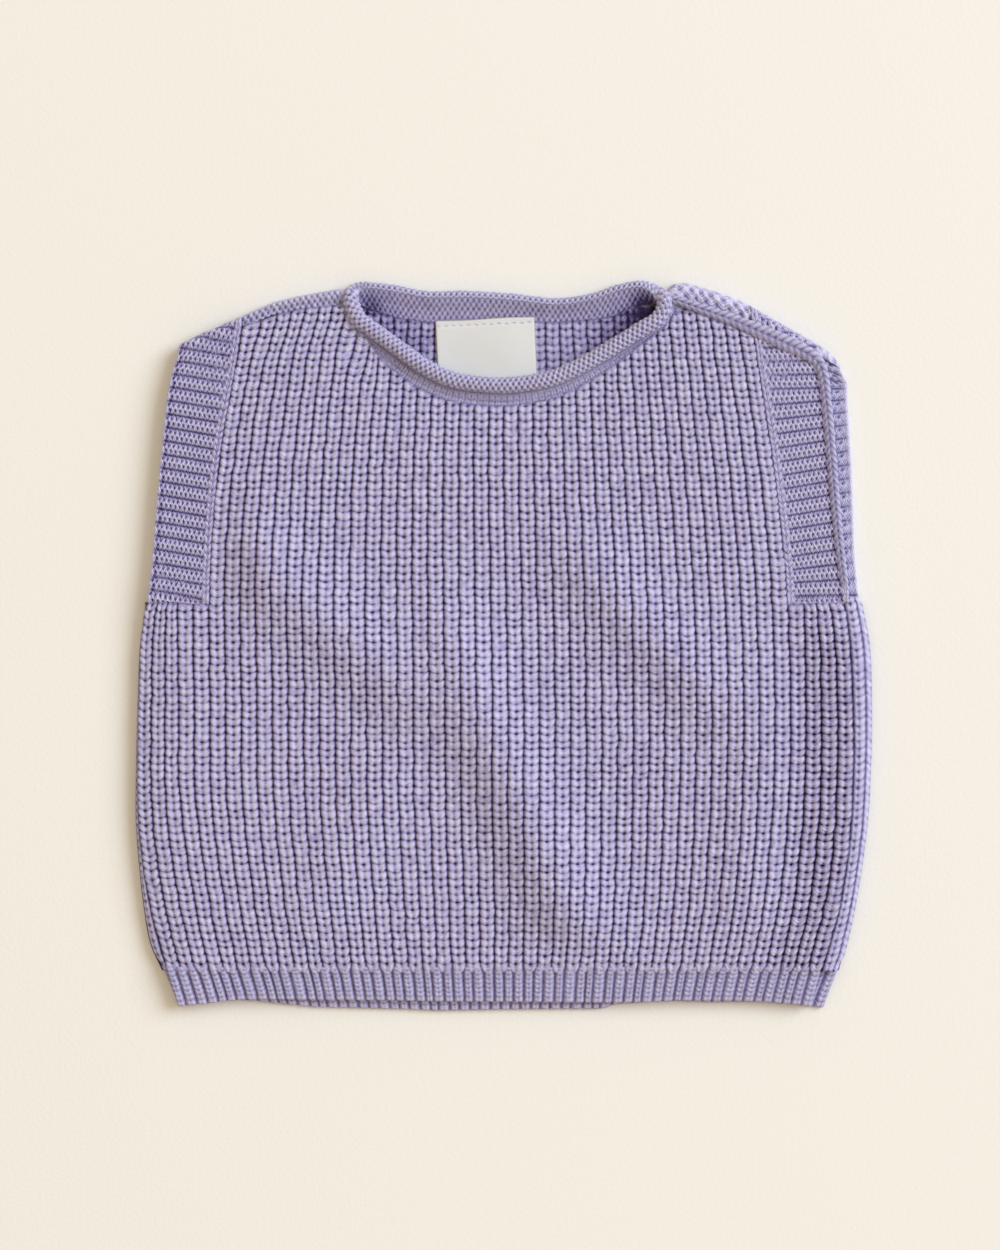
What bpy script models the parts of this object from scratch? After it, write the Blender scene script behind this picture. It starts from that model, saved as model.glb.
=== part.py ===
"""A baby's sleeveless knitted vest in a chunky rib, lying flat on its back.

X runs across the vest, Y up towards the neck and Z up from the surface it lies on. The origin is on that surface,
under the middle of the vest. Sizes and tables are in millimetres, and MM turns them into metres.
"""

import math

import bmesh
import bpy
from mathutils import Matrix

MM = 0.001

# The cloth, as it lies in layers
WALL = 3.7  # a chunky full-cardigan rib is as thick as this
SLIT = 0.45  # between the back and the front, and inside the flattened armbands
SEAM = 0.3  # between two pieces that are sewn together
FRONT_BASE = WALL + SLIT
SLIT_MIDDLE = WALL + SLIT / 2

# The ribs of the body
RIBS = 46
MIDDLE_RIB = 23
LEFT_SEAM_RIB = 5  # the armbands begin on these ribs
RIGHT_SEAM_RIB = 42
RIB_DEPTH = 1.4
RIB_SHAPE = ((0.0, 0.0), (0.28, 1.0), (0.72, 1.0))  # place across the rib, and height of its crest
RIB_END_DROP = 0.7  # a rib rounds down where it meets another piece
EDGE_RIBS = 3  # the outer ribs share what the side's curve leaves them

HEM = -124.0  # where the body ends and the welt begins
UNDERARM = 15.3
SHOULDER = 120.0

EDGE_HEIGHT = 0.45 * WALL  # an edge rounds over and is widest at this height
UNDERSIDE_INSET = 1.4  # the flat underside ends this far inside the outline

# The neckband
ROLL_RADIUS = 3.0
BAND_WALL = 2.2
NECK_SEAM = 0.5
NECK_SECTIONS = 84

# The armbands
RIDGES = 18
RIDGE_DEPTH = 0.9
ARMBAND_FOLD = SLIT / 2 + WALL
ARMBAND_SEAM = 0.5  # a little wider, because the panels' edges run straight between their rows
ARMBAND_MIDDLE = 60.0  # the ridges slope about the middle of the band's width at this height
ARMBAND_CORNER = 3.0  # how far the corner at the shoulder is cut back
CORNER_SHARPNESS = 8
ARMBAND_BACK_ROWS = 8
FOLD_ROWS = 6

# The welts
WELT_RIBS = 58
WELT_WALL = 3.1
WELT_RIB_DEPTH = 0.7
WELT_EDGE_DROP = 0.4
WELT_ROWS = 2
FRONT_WELT_BASE = 3.7

# The label
LABEL_SIZE = (37.8, 26.0, 0.6)
LABEL_CENTRE = (-6.0, 111.2)
LABEL_TURN = math.radians(2.6)

# The soft swells of the front panel
PUFF = 0.7
SWELL_MARGIN = 24.0  # the panel is flat again at its edges

# Colours are linear
WOOL = (0.318, 0.276, 0.413)
WOOL_ROUGHNESS = 0.95
WOOL_SHEEN = 0.4
LABEL_COTTON = (0.723, 0.730, 0.680)
LABEL_ROUGHNESS = 0.8
SHARP_EDGE = math.radians(40)


def table(columns, *rows):
    """A table as a dictionary of named columns."""
    return {name: [row[i] for row in rows] for i, name in enumerate(columns.split())}


# The sides of the body: the vest's outline, and the front panel's own edges inside it
SIDES = table(
    "y left right front_left front_right",
    (-124.0, -129.3, 128.9, -127.2, 121.8),
    (-114.0, -133.0, 131.3, -130.3, 124.2),
    (-101.0, -135.6, 134.2, -133.6, 127.7),
    (-85.5, -137.9, 136.8, -136.6, 130.4),
    (-66.5, -139.8, 139.2, -138.9, 132.2),
    (-40.0, -140.5, 140.5, -139.7, 133.0),
    (-18.0, -139.7, 140.6, -138.8, 132.4),
    (0.0, -138.6, 139.8, -137.8, 131.8),
    (15.3, -136.4, 137.0, -135.6, 130.2),
)

# Where the ribs run: the line between ribs 22 and 23, and the width of a rib
RIB_LINES = table(
    "y centre pitch",
    (-124.0, -3.0, 5.42),
    (-97.0, -3.0, 5.70),
    (-59.0, -3.8, 5.93),
    (-21.0, -3.8, 5.96),
    (25.0, -4.6, 5.93),
    (70.0, -5.2, 5.70),
    (112.0, -4.6, 5.33),
    (135.0, -4.6, 5.15),
)

# The neckband, all the way round: the middle of its roll, the seam that joins it to a panel, and how far the outer
# side of the band has turned from the front, where it faces up, to the back, where it faces down
FRONT_NECK = (
    (-57.4, 131.0, 7.2, -61.0, 129.6, 5.6, -50),
    (-54.6, 124.1, 8.0, -57.6, 121.9, 6.0, -14),
    (-48.5, 119.3, 8.2, -51.9, 114.8, 6.0, 0),
    (-39.3, 112.7, 8.2, -43.8, 106.6, 6.0, 0),
    (-29.3, 105.7, 8.2, -33.3, 98.8, 6.0, 0),
    (-19.7, 101.2, 8.2, -22.2, 93.6, 6.0, 0),
    (-9.2, 99.2, 8.2, -10.1, 91.5, 6.0, 0),
    (3.0, 98.8, 8.2, 3.0, 91.1, 6.0, 0),
    (17.0, 100.8, 8.2, 19.0, 93.9, 6.0, 0),
    (25.7, 104.0, 8.2, 28.5, 97.8, 6.0, 0),
    (34.4, 108.6, 8.2, 37.6, 103.2, 6.0, 0),
    (43.1, 113.8, 8.2, 46.0, 109.3, 6.0, 0),
    (51.9, 119.3, 8.2, 54.3, 115.5, 6.0, 0),
    (59.3, 124.1, 8.1, 61.6, 121.3, 6.0, 14),
)
BACK_NECK = (
    (61.8, 129.7, 7.2, 64.9, 127.4, 5.4, 55),
    (59.5, 134.0, 4.3, 60.8, 129.8, 3.6, 120),
    (52.5, 135.9, 3.1, 53.0, 130.2, 2.4, 166),
    (43.1, 134.1, 3.0, 43.1, 125.8, 1.9, 180),
    (34.4, 131.1, 3.0, 34.4, 124.5, 1.9, 180),
    (21.0, 129.2, 3.0, 21.0, 123.5, 1.9, 180),
    (4.0, 130.9, 3.0, 4.0, 123.4, 1.9, 180),
    (-13.6, 132.0, 3.0, -13.6, 123.4, 1.9, 180),
    (-28.0, 131.9, 3.0, -28.0, 123.5, 1.9, 180),
    (-40.0, 134.0, 3.0, -39.8, 125.0, 1.9, 180),
    (-50.0, 135.3, 3.1, -49.0, 128.2, 2.4, 194),
    (-56.2, 134.6, 4.6, -56.8, 130.2, 3.7, 245),
)
NECK = table("x y z seam_x seam_y seam_z turn", *FRONT_NECK, *BACK_NECK)

# The top edge of each panel, from the left shoulder to the right one
FRONT_TOP = table(
    "x y",
    (-101.0, 120.6),
    (-96.7, 122.3),
    (-87.0, 126.1),
    (-77.3, 128.2),
    (-67.6, 129.2),
    *((row[3], row[4]) for row in FRONT_NECK),
    (66.0, 124.0),
    (71.0, 125.0),
    (79.2, 122.2),
    (88.3, 118.7),
    (98.0, 114.4),
)
BACK_TOP = table(
    "x y",
    (-101.0, 124.6),
    (-96.7, 126.6),
    (-87.0, 130.8),
    (-77.3, 133.2),
    (-67.6, 135.0),
    (-63.0, 135.6),
    (-60.9, 129.8),
    *((row[3], row[4]) for row in reversed(BACK_NECK[1:])),
    (63.8, 129.4),
    (66.2, 137.0),
    (73.1, 136.7),
    (83.3, 133.6),
    (93.4, 129.0),
    (98.0, 126.6),
)
NECK_ENDS = (-63.6, 67.4)  # between these the panels end at the neck

# The armbands: outer edge of the front half and of the back half, and how its ridges slope
LEFT_ARMBAND = table(
    "y front back slope",
    (15.3, -135.3, -134.6, 0.0),
    (30.0, -133.2, -132.5, -0.13),
    (45.0, -131.9, -131.2, -0.14),
    (68.0, -130.0, -129.3, -0.15),
    (90.0, -127.8, -127.1, -0.15),
    (104.0, -125.6, -124.9, -0.10),
    (112.0, -123.6, -122.9, 0.10),
    (121.0, -121.4, -120.7, 0.43),
)
RIGHT_ARMBAND = table(
    "y front back slope",
    (15.3, 132.6, 136.4, 0.0),
    (30.0, 130.2, 134.6, 0.14),
    (45.0, 128.7, 134.0, 0.16),
    (68.0, 126.4, 133.1, 0.17),
    (90.0, 124.6, 131.8, 0.12),
    (104.0, 122.4, 129.9, 0.0),
    (112.0, 121.6, 126.0, -0.26),
    (121.0, 120.6, 121.6, -0.50),
)
# An armband's cut edge: place across the band, and height in the wall
ARMBAND_EDGE = (
    (0.0, 0.8),
    (0.08, 1.0),
    (0.5, 1.0),
    (0.9, 0.96),
    (0.985, 0.72),
    (1.0, 0.4),
    (0.96, 0.06),
    (0.5, 0.0),
    (0.0, 0.0),
)

# The bottom edges of the welts, from left to right
WELT_ENDS = table(
    "x front back",
    (-124.0, -137.7, -138.0),
    (-108.7, -136.3, -138.0),
    (-87.0, -134.8, -138.2),
    (-38.8, -135.2, -138.8),
    (7.6, -135.7, -138.9),
    (52.4, -136.1, -138.5),
    (93.5, -135.5, -137.4),
    (107.5, -136.4, -137.3),
    (122.4, -137.7, -137.8),
)
FRONT_WELT_SIDES = ((-127.0, 121.8), (-123.4, 117.6))  # left and right, at the top and at the bottom
BACK_WELT_SIDES = ((-129.0, 128.8), (-123.7, 122.6))

# The folds that the front lies in: a soft ridge from one point to another
FOLDS = table(
    "x0 y0 x1 y1 width height",
    (-14.0, -12.0, 25.0, -98.0, 15.0, 2.3),
    (-84.0, 30.0, -32.0, -12.0, 13.0, 1.5),
    (24.0, 30.0, 76.0, 2.0, 13.0, 1.5),
    (-70.0, -98.0, -52.0, -60.0, 14.0, 0.9),
    (92.0, -90.0, 96.0, -20.0, 12.0, 1.0),
)


def smooth(amount):
    """0 to 1 with a soft start and end."""
    amount = min(max(amount, 0.0), 1.0)
    return amount * amount * (3.0 - 2.0 * amount)


def mix(a, b, amount):
    return a * (1.0 - amount) + b * amount


def read(rows, place, column, along="y"):
    """A column of a table at a place, on a smooth curve through its rows."""
    at, value = rows[along], rows[column]
    last = len(at) - 1
    place = min(max(place, at[0]), at[last])
    i = next(k for k in range(last) if place <= at[k + 1])

    def slope(k):
        k0, k1 = max(k - 1, 0), min(k + 1, last)
        return (value[k1] - value[k0]) / (at[k1] - at[k0])

    width = at[i + 1] - at[i]
    t = (place - at[i]) / width
    blend = smooth(t)
    straight = mix(value[i], value[i + 1], blend)
    return straight + width * (slope(i) * t * (1 - t) ** 2 - slope(i + 1) * t * t * (1 - t))


def straight_read(rows, place, column, along="x"):
    """A column of a table at a place, on straight runs between its rows."""
    at, value = rows[along], rows[column]
    last = len(at) - 1
    place = min(max(place, at[0]), at[last])
    i = next(k for k in range(last) if place <= at[k + 1])
    return mix(value[i], value[i + 1], (place - at[i]) / (at[i + 1] - at[i]))


def rib_line(rib, y):
    """X of the line where a rib begins, at a height on the body."""
    centre = read(RIB_LINES, y, "centre")
    pitch = read(RIB_LINES, y, "pitch")

    def even(number):
        return centre + pitch * (number - MIDDLE_RIB)

    if y > UNDERARM or EDGE_RIBS <= rib <= RIBS - EDGE_RIBS:
        return even(rib)
    if rib < EDGE_RIBS:
        return mix(read(SIDES, y, "front_left"), even(EDGE_RIBS), rib / EDGE_RIBS)
    inner = RIBS - EDGE_RIBS
    return mix(even(inner), read(SIDES, y, "front_right"), (rib - inner) / EDGE_RIBS)


def top_of(rib, edge):
    """Y at which the line of a rib meets a panel's top edge."""
    y = SHOULDER
    for _ in range(12):
        y = straight_read(edge, rib_line(rib, y), "y")
    return y


def room_at(x, y):
    """How far a point of the front panel is from the panel's own edges."""
    top = straight_read(FRONT_TOP, x, "y") - y
    if y > UNDERARM:
        return min(x - rib_line(LEFT_SEAM_RIB, y), rib_line(RIGHT_SEAM_RIB, y) - x, top)
    left_corner = x - rib_line(LEFT_SEAM_RIB, UNDERARM)
    right_corner = rib_line(RIGHT_SEAM_RIB, UNDERARM) - x
    below = UNDERARM - y
    return min(
        x - rib_line(0, y),
        rib_line(RIBS, y) - x,
        y - HEM,
        math.hypot(max(left_corner, 0.0), below),
        math.hypot(max(right_corner, 0.0), below),
        top,
    )


def swell(x, y):
    """How far the front panel stands up off the back, in its soft folds."""
    height = PUFF
    for x0, y0, x1, y1, width, rise in zip(*FOLDS.values()):
        run_x, run_y = x1 - x0, y1 - y0
        length = math.hypot(run_x, run_y)
        on = ((x - x0) * run_x + (y - y0) * run_y) / length
        off = ((x - x0) * run_y - (y - y0) * run_x) / length
        past = max(-on, on - length, 0.0)
        height += rise * math.exp(-((off / width) ** 2) - (past / (1.6 * width)) ** 2)
    return height * smooth(room_at(x, y) / SWELL_MARGIN)


def new_collection(name):
    collection = bpy.data.collections.new(name)
    bpy.context.scene.collection.children.link(collection)
    return collection


def new_material(name, colour, roughness, sheen):
    """A cloth: a Principled surface with no shine, and the fuzz of wool where it has sheen."""
    material = bpy.data.materials.new(name)
    material.use_nodes = True
    surface = material.node_tree.nodes["Principled BSDF"]
    surface.inputs["Base Color"].default_value = (*colour, 1.0)
    surface.inputs["Roughness"].default_value = roughness
    surface.inputs["Metallic"].default_value = 0.0
    surface.inputs["Sheen Weight"].default_value = sheen
    material.diffuse_color = (*colour, 1.0)
    return material


def new_wool(name):
    return new_material(name, WOOL, WOOL_ROUGHNESS, WOOL_SHEEN)


def new_piece(name, bm, collection, material):
    """Makes a named object of a closed shape in millimetres."""
    bmesh.ops.recalc_face_normals(bm, faces=bm.faces)
    if bm.calc_volume(signed=True) < 0.0:
        bmesh.ops.reverse_faces(bm, faces=bm.faces)
    bmesh.ops.scale(bm, verts=bm.verts, vec=(MM, MM, MM))
    mesh = bpy.data.meshes.new(name)
    bm.to_mesh(mesh)
    bm.free()
    mesh.shade_smooth()
    mesh.set_sharp_from_angle(angle=SHARP_EDGE)
    mesh.materials.append(material)
    piece = bpy.data.objects.new(name, mesh)
    collection.objects.link(piece)
    return piece


def new_grid(columns, rows, keep=None):
    """A flat sheet of squares whose X and Y count its columns and rows; keep says which squares it has."""
    bm = bmesh.new()
    bmesh.ops.create_grid(bm, x_segments=columns, y_segments=rows, size=0.5)
    bmesh.ops.translate(bm, verts=bm.verts, vec=(0.5, 0.5, 0.0))
    bmesh.ops.scale(bm, verts=bm.verts, vec=(columns, rows, 1.0))
    if keep:
        middles = [(face, face.calc_center_median()) for face in bm.faces]
        spare = [face for face, at in middles if not keep(at.x, at.y)]
        bmesh.ops.delete(bm, geom=spare, context="FACES")
    return bm


def wall(bm, outside, inside):
    """Thickens a sheet: its own points go to the inside, and the points of a copy to the outside."""
    made = bmesh.ops.extrude_face_region(bm, geom=bm.faces[:])["geom"]
    outer = {vert for vert in made if isinstance(vert, bmesh.types.BMVert)}
    for vert in bm.verts:
        place = outside if vert in outer else inside
        vert.co = place(round(vert.co.x), round(vert.co.y))


def slab(bm, outside, inside):
    """Thickens a sheet over one flat face: only the rim's points are copied to the inside."""
    upper = list(bm.verts)
    rim = [edge for edge in bm.edges if edge.is_boundary]
    made = bmesh.ops.extrude_edge_only(bm, edges=rim)["geom"]
    lower = [vert for vert in made if isinstance(vert, bmesh.types.BMVert)]
    for verts, place in ((upper, outside), (lower, inside)):
        for vert in verts:
            vert.co = place(round(vert.co.x), round(vert.co.y))
    rim = [edge for edge in made if isinstance(edge, bmesh.types.BMEdge)]
    bmesh.ops.contextual_create(bm, geom=rim)


def ring(along, around, place):
    """A closed tube whose two ends meet: place gives a point for each step along and around it."""
    bm = new_grid(along, around)
    for vert in bm.verts:
        vert.co = place(round(vert.co.x) % along, round(vert.co.y) % around)
    bmesh.ops.remove_doubles(bm, verts=bm.verts, dist=1e-4)
    return bm


# Front panel

FRONT_LOW_ROWS = 6
FRONT_HIGH_ROWS = 6


def front_place(column, row):
    """X, Y and crest height of a point of the front panel's grid."""
    rib, part = divmod(column, len(RIB_SHAPE))
    across, crest = RIB_SHAPE[part]
    rib += across
    if row <= FRONT_LOW_ROWS:
        y = mix(HEM, UNDERARM, row / FRONT_LOW_ROWS)
    else:
        y = mix(UNDERARM, top_of(rib, FRONT_TOP), (row - FRONT_LOW_ROWS) / FRONT_HIGH_ROWS)
    return rib_line(rib, y), y, crest


def front_outside(column, row):
    x, y, crest = front_place(column, row)
    z = FRONT_BASE + swell(x, y) + WALL - RIB_DEPTH * (1.0 - crest)
    if row in (0, FRONT_LOW_ROWS + FRONT_HIGH_ROWS):
        z -= RIB_END_DROP
    if column in (0, RIBS * len(RIB_SHAPE)):
        z = FRONT_BASE + EDGE_HEIGHT
    return x, y, z


def front_inside(column, row):
    x, y, _ = front_place(column, row)
    return x, y, FRONT_BASE + swell(x, y)


def front_keep(column, row):
    """The sheet is narrower above the underarm, between the armbands."""
    first, last = LEFT_SEAM_RIB * len(RIB_SHAPE), RIGHT_SEAM_RIB * len(RIB_SHAPE)
    return row < FRONT_LOW_ROWS or first < column < last


def front_panel(collection, material):
    columns = RIBS * len(RIB_SHAPE)
    bm = new_grid(columns, FRONT_LOW_ROWS + FRONT_HIGH_ROWS, front_keep)
    wall(bm, front_outside, front_inside)
    return new_piece("front_panel", bm, collection, material)


# Back panel: flat under the front, with a rounded rim where it shows beside it

RIM = (0.0, 0.1, 0.3, 0.6, 0.88, 1.0)  # places across the rim, from the outline inwards
RIM_CREST = 0.3
RIM_RISE = 3.3
RIM_SLOPE = 0.62  # a narrow rim rises less
RIM_SHARPNESS = 8
BACK_LOW_ROWS = 5
BACK_HIGH_ROWS = 5
BACK_SIDE_STEPS = 2
RIM_STEPS = len(RIM) - 1
BACK_LEFT = RIM_STEPS + BACK_SIDE_STEPS  # the column of the left armband's seam
BACK_RIGHT = BACK_LEFT + RIGHT_SEAM_RIB - LEFT_SEAM_RIB
BACK_COLUMNS = BACK_RIGHT + BACK_SIDE_STEPS + RIM_STEPS
BACK_ROWS = BACK_LOW_ROWS + BACK_HIGH_ROWS + RIM_STEPS


def rim_height(across, width):
    """Height of the back's rim at a place from the outline (0) to the front's edge (1): it rounds up, then falls."""
    rise = min(RIM_RISE, RIM_SLOPE * width)
    if across < RIM_CREST:
        return (WALL + rise) * math.sqrt(1.0 - (1.0 - across) ** RIM_SHARPNESS)
    return WALL + rise * math.cos(math.pi / 2 * (across - RIM_CREST) / (1.0 - RIM_CREST))


def back_row_y(rib, row):
    """Y of a row on a rib's line, and the place across the shoulder's rim."""
    if row <= BACK_LOW_ROWS:
        return mix(HEM, UNDERARM, row / BACK_LOW_ROWS), 1.0, 0.0
    front, back = top_of(rib, FRONT_TOP), top_of(rib, BACK_TOP)
    row -= BACK_LOW_ROWS
    if row <= BACK_HIGH_ROWS:
        return mix(UNDERARM, front, row / BACK_HIGH_ROWS), 1.0, 0.0
    across = RIM[RIM_STEPS - (row - BACK_HIGH_ROWS)]
    return mix(back, front, across), across, back - front


def back_outside(column, row):
    """A point of the back's upper side."""
    if BACK_LEFT <= column <= BACK_RIGHT:
        rib = LEFT_SEAM_RIB + column - BACK_LEFT
        y, across, width = back_row_y(rib, row)
        x = rib_line(rib, y)
        at_neck = NECK_ENDS[0] < x < NECK_ENDS[1]
        z = WALL if at_neck or across == 1.0 else rim_height(across, width)
        return x, y, z
    y = mix(HEM, UNDERARM, row / BACK_LOW_ROWS)
    if column < BACK_LEFT:
        outline, edge, seam = read(SIDES, y, "left"), rib_line(0, y), rib_line(LEFT_SEAM_RIB, y)
        step = column
    else:
        outline, edge, seam = read(SIDES, y, "right"), rib_line(RIBS, y), rib_line(RIGHT_SEAM_RIB, y)
        step = BACK_COLUMNS - column
    if step > RIM_STEPS:
        return mix(edge, seam, (step - RIM_STEPS) / BACK_SIDE_STEPS), y, WALL
    across = RIM[step]
    return mix(outline, edge, across), y, rim_height(across, abs(edge - outline))


def on_outline(column, row):
    """Whether a point of the back's grid lies on the vest's own outline, and not on a seam."""
    side = column in (0, BACK_COLUMNS)
    x = back_outside(column, row)[0]
    shoulder = row == BACK_ROWS and not NECK_ENDS[0] < x < NECK_ENDS[1]
    return side or shoulder


def back_rounded(column, row):
    x, y, z = back_outside(column, row)
    return x, y, EDGE_HEIGHT if on_outline(column, row) else z


def back_inside(column, row):
    """A point of the flat underside, drawn in a little where the outline rounds up from the surface."""
    x, y, _ = back_outside(column, row)
    if on_outline(column, row):
        toward = 1.0 - UNDERSIDE_INSET / math.hypot(x, y)
        x, y = x * toward, y * toward
    return x, y, 0.0


def back_keep(column, row):
    return row < BACK_LOW_ROWS or BACK_LEFT < column < BACK_RIGHT


def back_panel(collection, material):
    bm = new_grid(BACK_COLUMNS, BACK_ROWS, back_keep)
    slab(bm, back_rounded, back_inside)
    return new_piece("back_panel", bm, collection, material)


# Neckband

ROLL_ANGLES = tuple(math.radians(-17 + 39 * step) for step in range(9))


def neck_row(step):
    """The columns of the neckband's table at one of the ring's sections, on a smooth curve through its rows."""
    rows = len(NECK["x"])
    place = step / NECK_SECTIONS * rows
    i, t = int(place), place - int(place)
    found = []
    for name, column in NECK.items():
        full_turn = 360.0 if name == "turn" else 0.0
        a, b, c, d = (column[(i + k) % rows] + full_turn * ((i + k) // rows) for k in (-1, 0, 1, 2))
        found.append(b + 0.5 * t * (c - a + t * (2 * a - 5 * b + 4 * c - d + t * (3 * (b - c) + d - a))))
    return found


def neckband_place(step, corner):
    """A point of the neckband: nine points go round its roll, and two make the edge that is sewn to the panel."""
    x, y, z, seam_x, seam_y, seam_z, turn = neck_row(step)
    reach = math.hypot(seam_x - x, seam_y - y)
    out_x, out_y = (seam_x - x) / reach, (seam_y - y) / reach
    level, upright = math.sin(math.radians(turn)), math.cos(math.radians(turn))
    if corner < len(ROLL_ANGLES):
        off = ROLL_RADIUS * math.cos(ROLL_ANGLES[corner])
        up = ROLL_RADIUS * math.sin(ROLL_ANGLES[corner])
    else:
        off = reach - NECK_SEAM
        up = BAND_WALL * (0.5 if corner > len(ROLL_ANGLES) else -0.5)
        z = seam_z
    return x + out_x * off - out_y * up * level, y + out_y * off + out_x * up * level, max(z + up * upright, 0.0)


def neckband(collection, material):
    bm = ring(NECK_SECTIONS, len(ROLL_ANGLES) + 2, neckband_place)
    return new_piece("neckband", bm, collection, material)


# Armbands

ARMBAND_FRONT_ROWS = RIDGES * len(RIB_SHAPE)
ARMBAND_ROWS = ARMBAND_FRONT_ROWS + ARMBAND_BACK_ROWS + 2 * FOLD_ROWS


def armband_row(step):
    """Where a section is on the flattened ring: height (0 to 1), turn round the fold, and crest of its ridge."""
    if step < ARMBAND_FRONT_ROWS:
        ridge, part = divmod(step, len(RIB_SHAPE))
        across, crest = RIB_SHAPE[part]
        return (ridge + across) / RIDGES, 0.0, crest
    step -= ARMBAND_FRONT_ROWS
    if step <= FOLD_ROWS:
        return 1.0, math.pi * step / FOLD_ROWS, 0.0 if step == 0 else 1.0
    step -= FOLD_ROWS
    if step < ARMBAND_BACK_ROWS:
        return 1.0 - step / ARMBAND_BACK_ROWS, math.pi, 1.0
    step -= ARMBAND_BACK_ROWS
    return 0.0, math.pi + math.pi * step / FOLD_ROWS, 1.0


def armband_place(rows, seam_rib, sign, step, corner):
    """A point of an armband."""
    height, turn, crest = armband_row(step)
    across, depth = ARMBAND_EDGE[corner]
    middle = 0.5 * (rib_line(seam_rib, ARMBAND_MIDDLE) + read(rows, ARMBAND_MIDDLE, "front"))
    top_seam = rib_line(seam_rib, SHOULDER)
    low = UNDERARM + SEAM + ARMBAND_FOLD
    high = straight_read(BACK_TOP, top_seam, "y") - ARMBAND_FOLD + rows["slope"][-1] * (middle - top_seam)
    y = mix(low, high, height)
    slope = read(rows, mix(UNDERARM, rows["y"][-1], height), "slope")
    seam = rib_line(seam_rib, y + slope * (rib_line(seam_rib, y) - middle)) + sign * ARMBAND_SEAM
    back = 0.5 - 0.5 * math.cos(turn)
    edge = mix(read(rows, y, "front"), read(rows, y, "back"), back)
    x = mix(seam, edge, across)
    y += slope * (x - middle)
    y -= ARMBAND_CORNER * (height * across) ** CORNER_SHARPNESS
    wall_here = WALL - RIDGE_DEPTH * (1.0 - crest)
    radius = SLIT / 2 + depth * wall_here
    return x, y + radius * math.sin(turn), SLIT_MIDDLE + radius * math.cos(turn)


def armband(name, rows, seam_rib, sign, collection, material):
    def place(step, corner):
        return armband_place(rows, seam_rib, sign, step, corner)

    bm = ring(ARMBAND_ROWS, len(ARMBAND_EDGE), place)
    return new_piece(name, bm, collection, material)


# Welts


def welt_place(column, row, columns, sides, edge):
    """X and Y of a point of a welt, from its bottom edge up."""
    up = row / WELT_ROWS
    (top_left, top_right), (low_left, low_right) = sides
    across = column / columns
    x = mix(mix(low_left, low_right, across), mix(top_left, top_right, across), up)
    low = straight_read(WELT_ENDS, x, edge)
    return x, mix(low, HEM - SEAM, up)


def front_welt(collection, material):
    columns = 2 * WELT_RIBS

    def outside(column, row):
        x, y = welt_place(column, row, columns, FRONT_WELT_SIDES, "front")
        z = FRONT_WELT_BASE + WELT_WALL - WELT_RIB_DEPTH * (column % 2 == 0)
        return x, y, z - WELT_EDGE_DROP * (row == 0)

    def inside(column, row):
        x, y = welt_place(column, row, columns, FRONT_WELT_SIDES, "front")
        return x, y, FRONT_WELT_BASE

    bm = new_grid(columns, WELT_ROWS)
    slab(bm, outside, inside)
    return new_piece("front_welt", bm, collection, material)


def back_welt(collection, material):
    columns = 24

    def outside(column, row):
        x, y = welt_place(column, row, columns, BACK_WELT_SIDES, "back")
        return x, y, FRONT_WELT_BASE - SEAM - WELT_EDGE_DROP * (row == 0)

    def inside(column, row):
        x, y = welt_place(column, row, columns, BACK_WELT_SIDES, "back")
        return x, y, 0.0

    bm = new_grid(columns, WELT_ROWS)
    slab(bm, outside, inside)
    return new_piece("back_welt", bm, collection, material)


# Label


def label(collection, material):
    bm = bmesh.new()
    bmesh.ops.create_cube(bm, size=1.0)
    bmesh.ops.scale(bm, verts=bm.verts, vec=LABEL_SIZE)
    bmesh.ops.rotate(bm, verts=bm.verts, matrix=Matrix.Rotation(LABEL_TURN, 3, "Z"))
    height = WALL + SEAM + LABEL_SIZE[2] / 2
    bmesh.ops.translate(bm, verts=bm.verts, vec=(*LABEL_CENTRE, height))
    return new_piece("label", bm, collection, material)


def main():
    for old in list(bpy.data.objects):
        bpy.data.objects.remove(old)
    vest = new_collection("sweater_vest")
    back_panel(vest, new_wool("wool_rib_back"))
    front_panel(vest, new_wool("wool_rib_front"))
    back_welt(vest, new_wool("wool_welt_back"))
    front_welt(vest, new_wool("wool_welt_front"))
    neckband(vest, new_wool("wool_neckband"))
    armband("armband_left", LEFT_ARMBAND, LEFT_SEAM_RIB, -1, vest, new_wool("wool_armband_left"))
    armband("armband_right", RIGHT_ARMBAND, RIGHT_SEAM_RIB, 1, vest, new_wool("wool_armband_right"))
    label(vest, new_material("cotton_label", LABEL_COTTON, LABEL_ROUGHNESS, 0.0))


main()
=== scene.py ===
# %% [markdown]
# # A baby's knitted vest, laid flat
# The vest is knitted in a chunky full-cardigan rib, with a rolled neckband, ribbed armhole bands and a
# narrow hem welt. Its solids give the form. A picture of stitches could be laid over them, but it would
# look flat as soon as the camera moves. So each knitted solid is replaced by cloth whose stitches are real
# relief in the mesh: light catches a stitch's two legs and sinks into the hollows between the ribs. Only
# the label is woven.

# %% Load the solids
import math

import bmesh
import bpy
import numpy as np
from mathutils import Matrix, Vector


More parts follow.
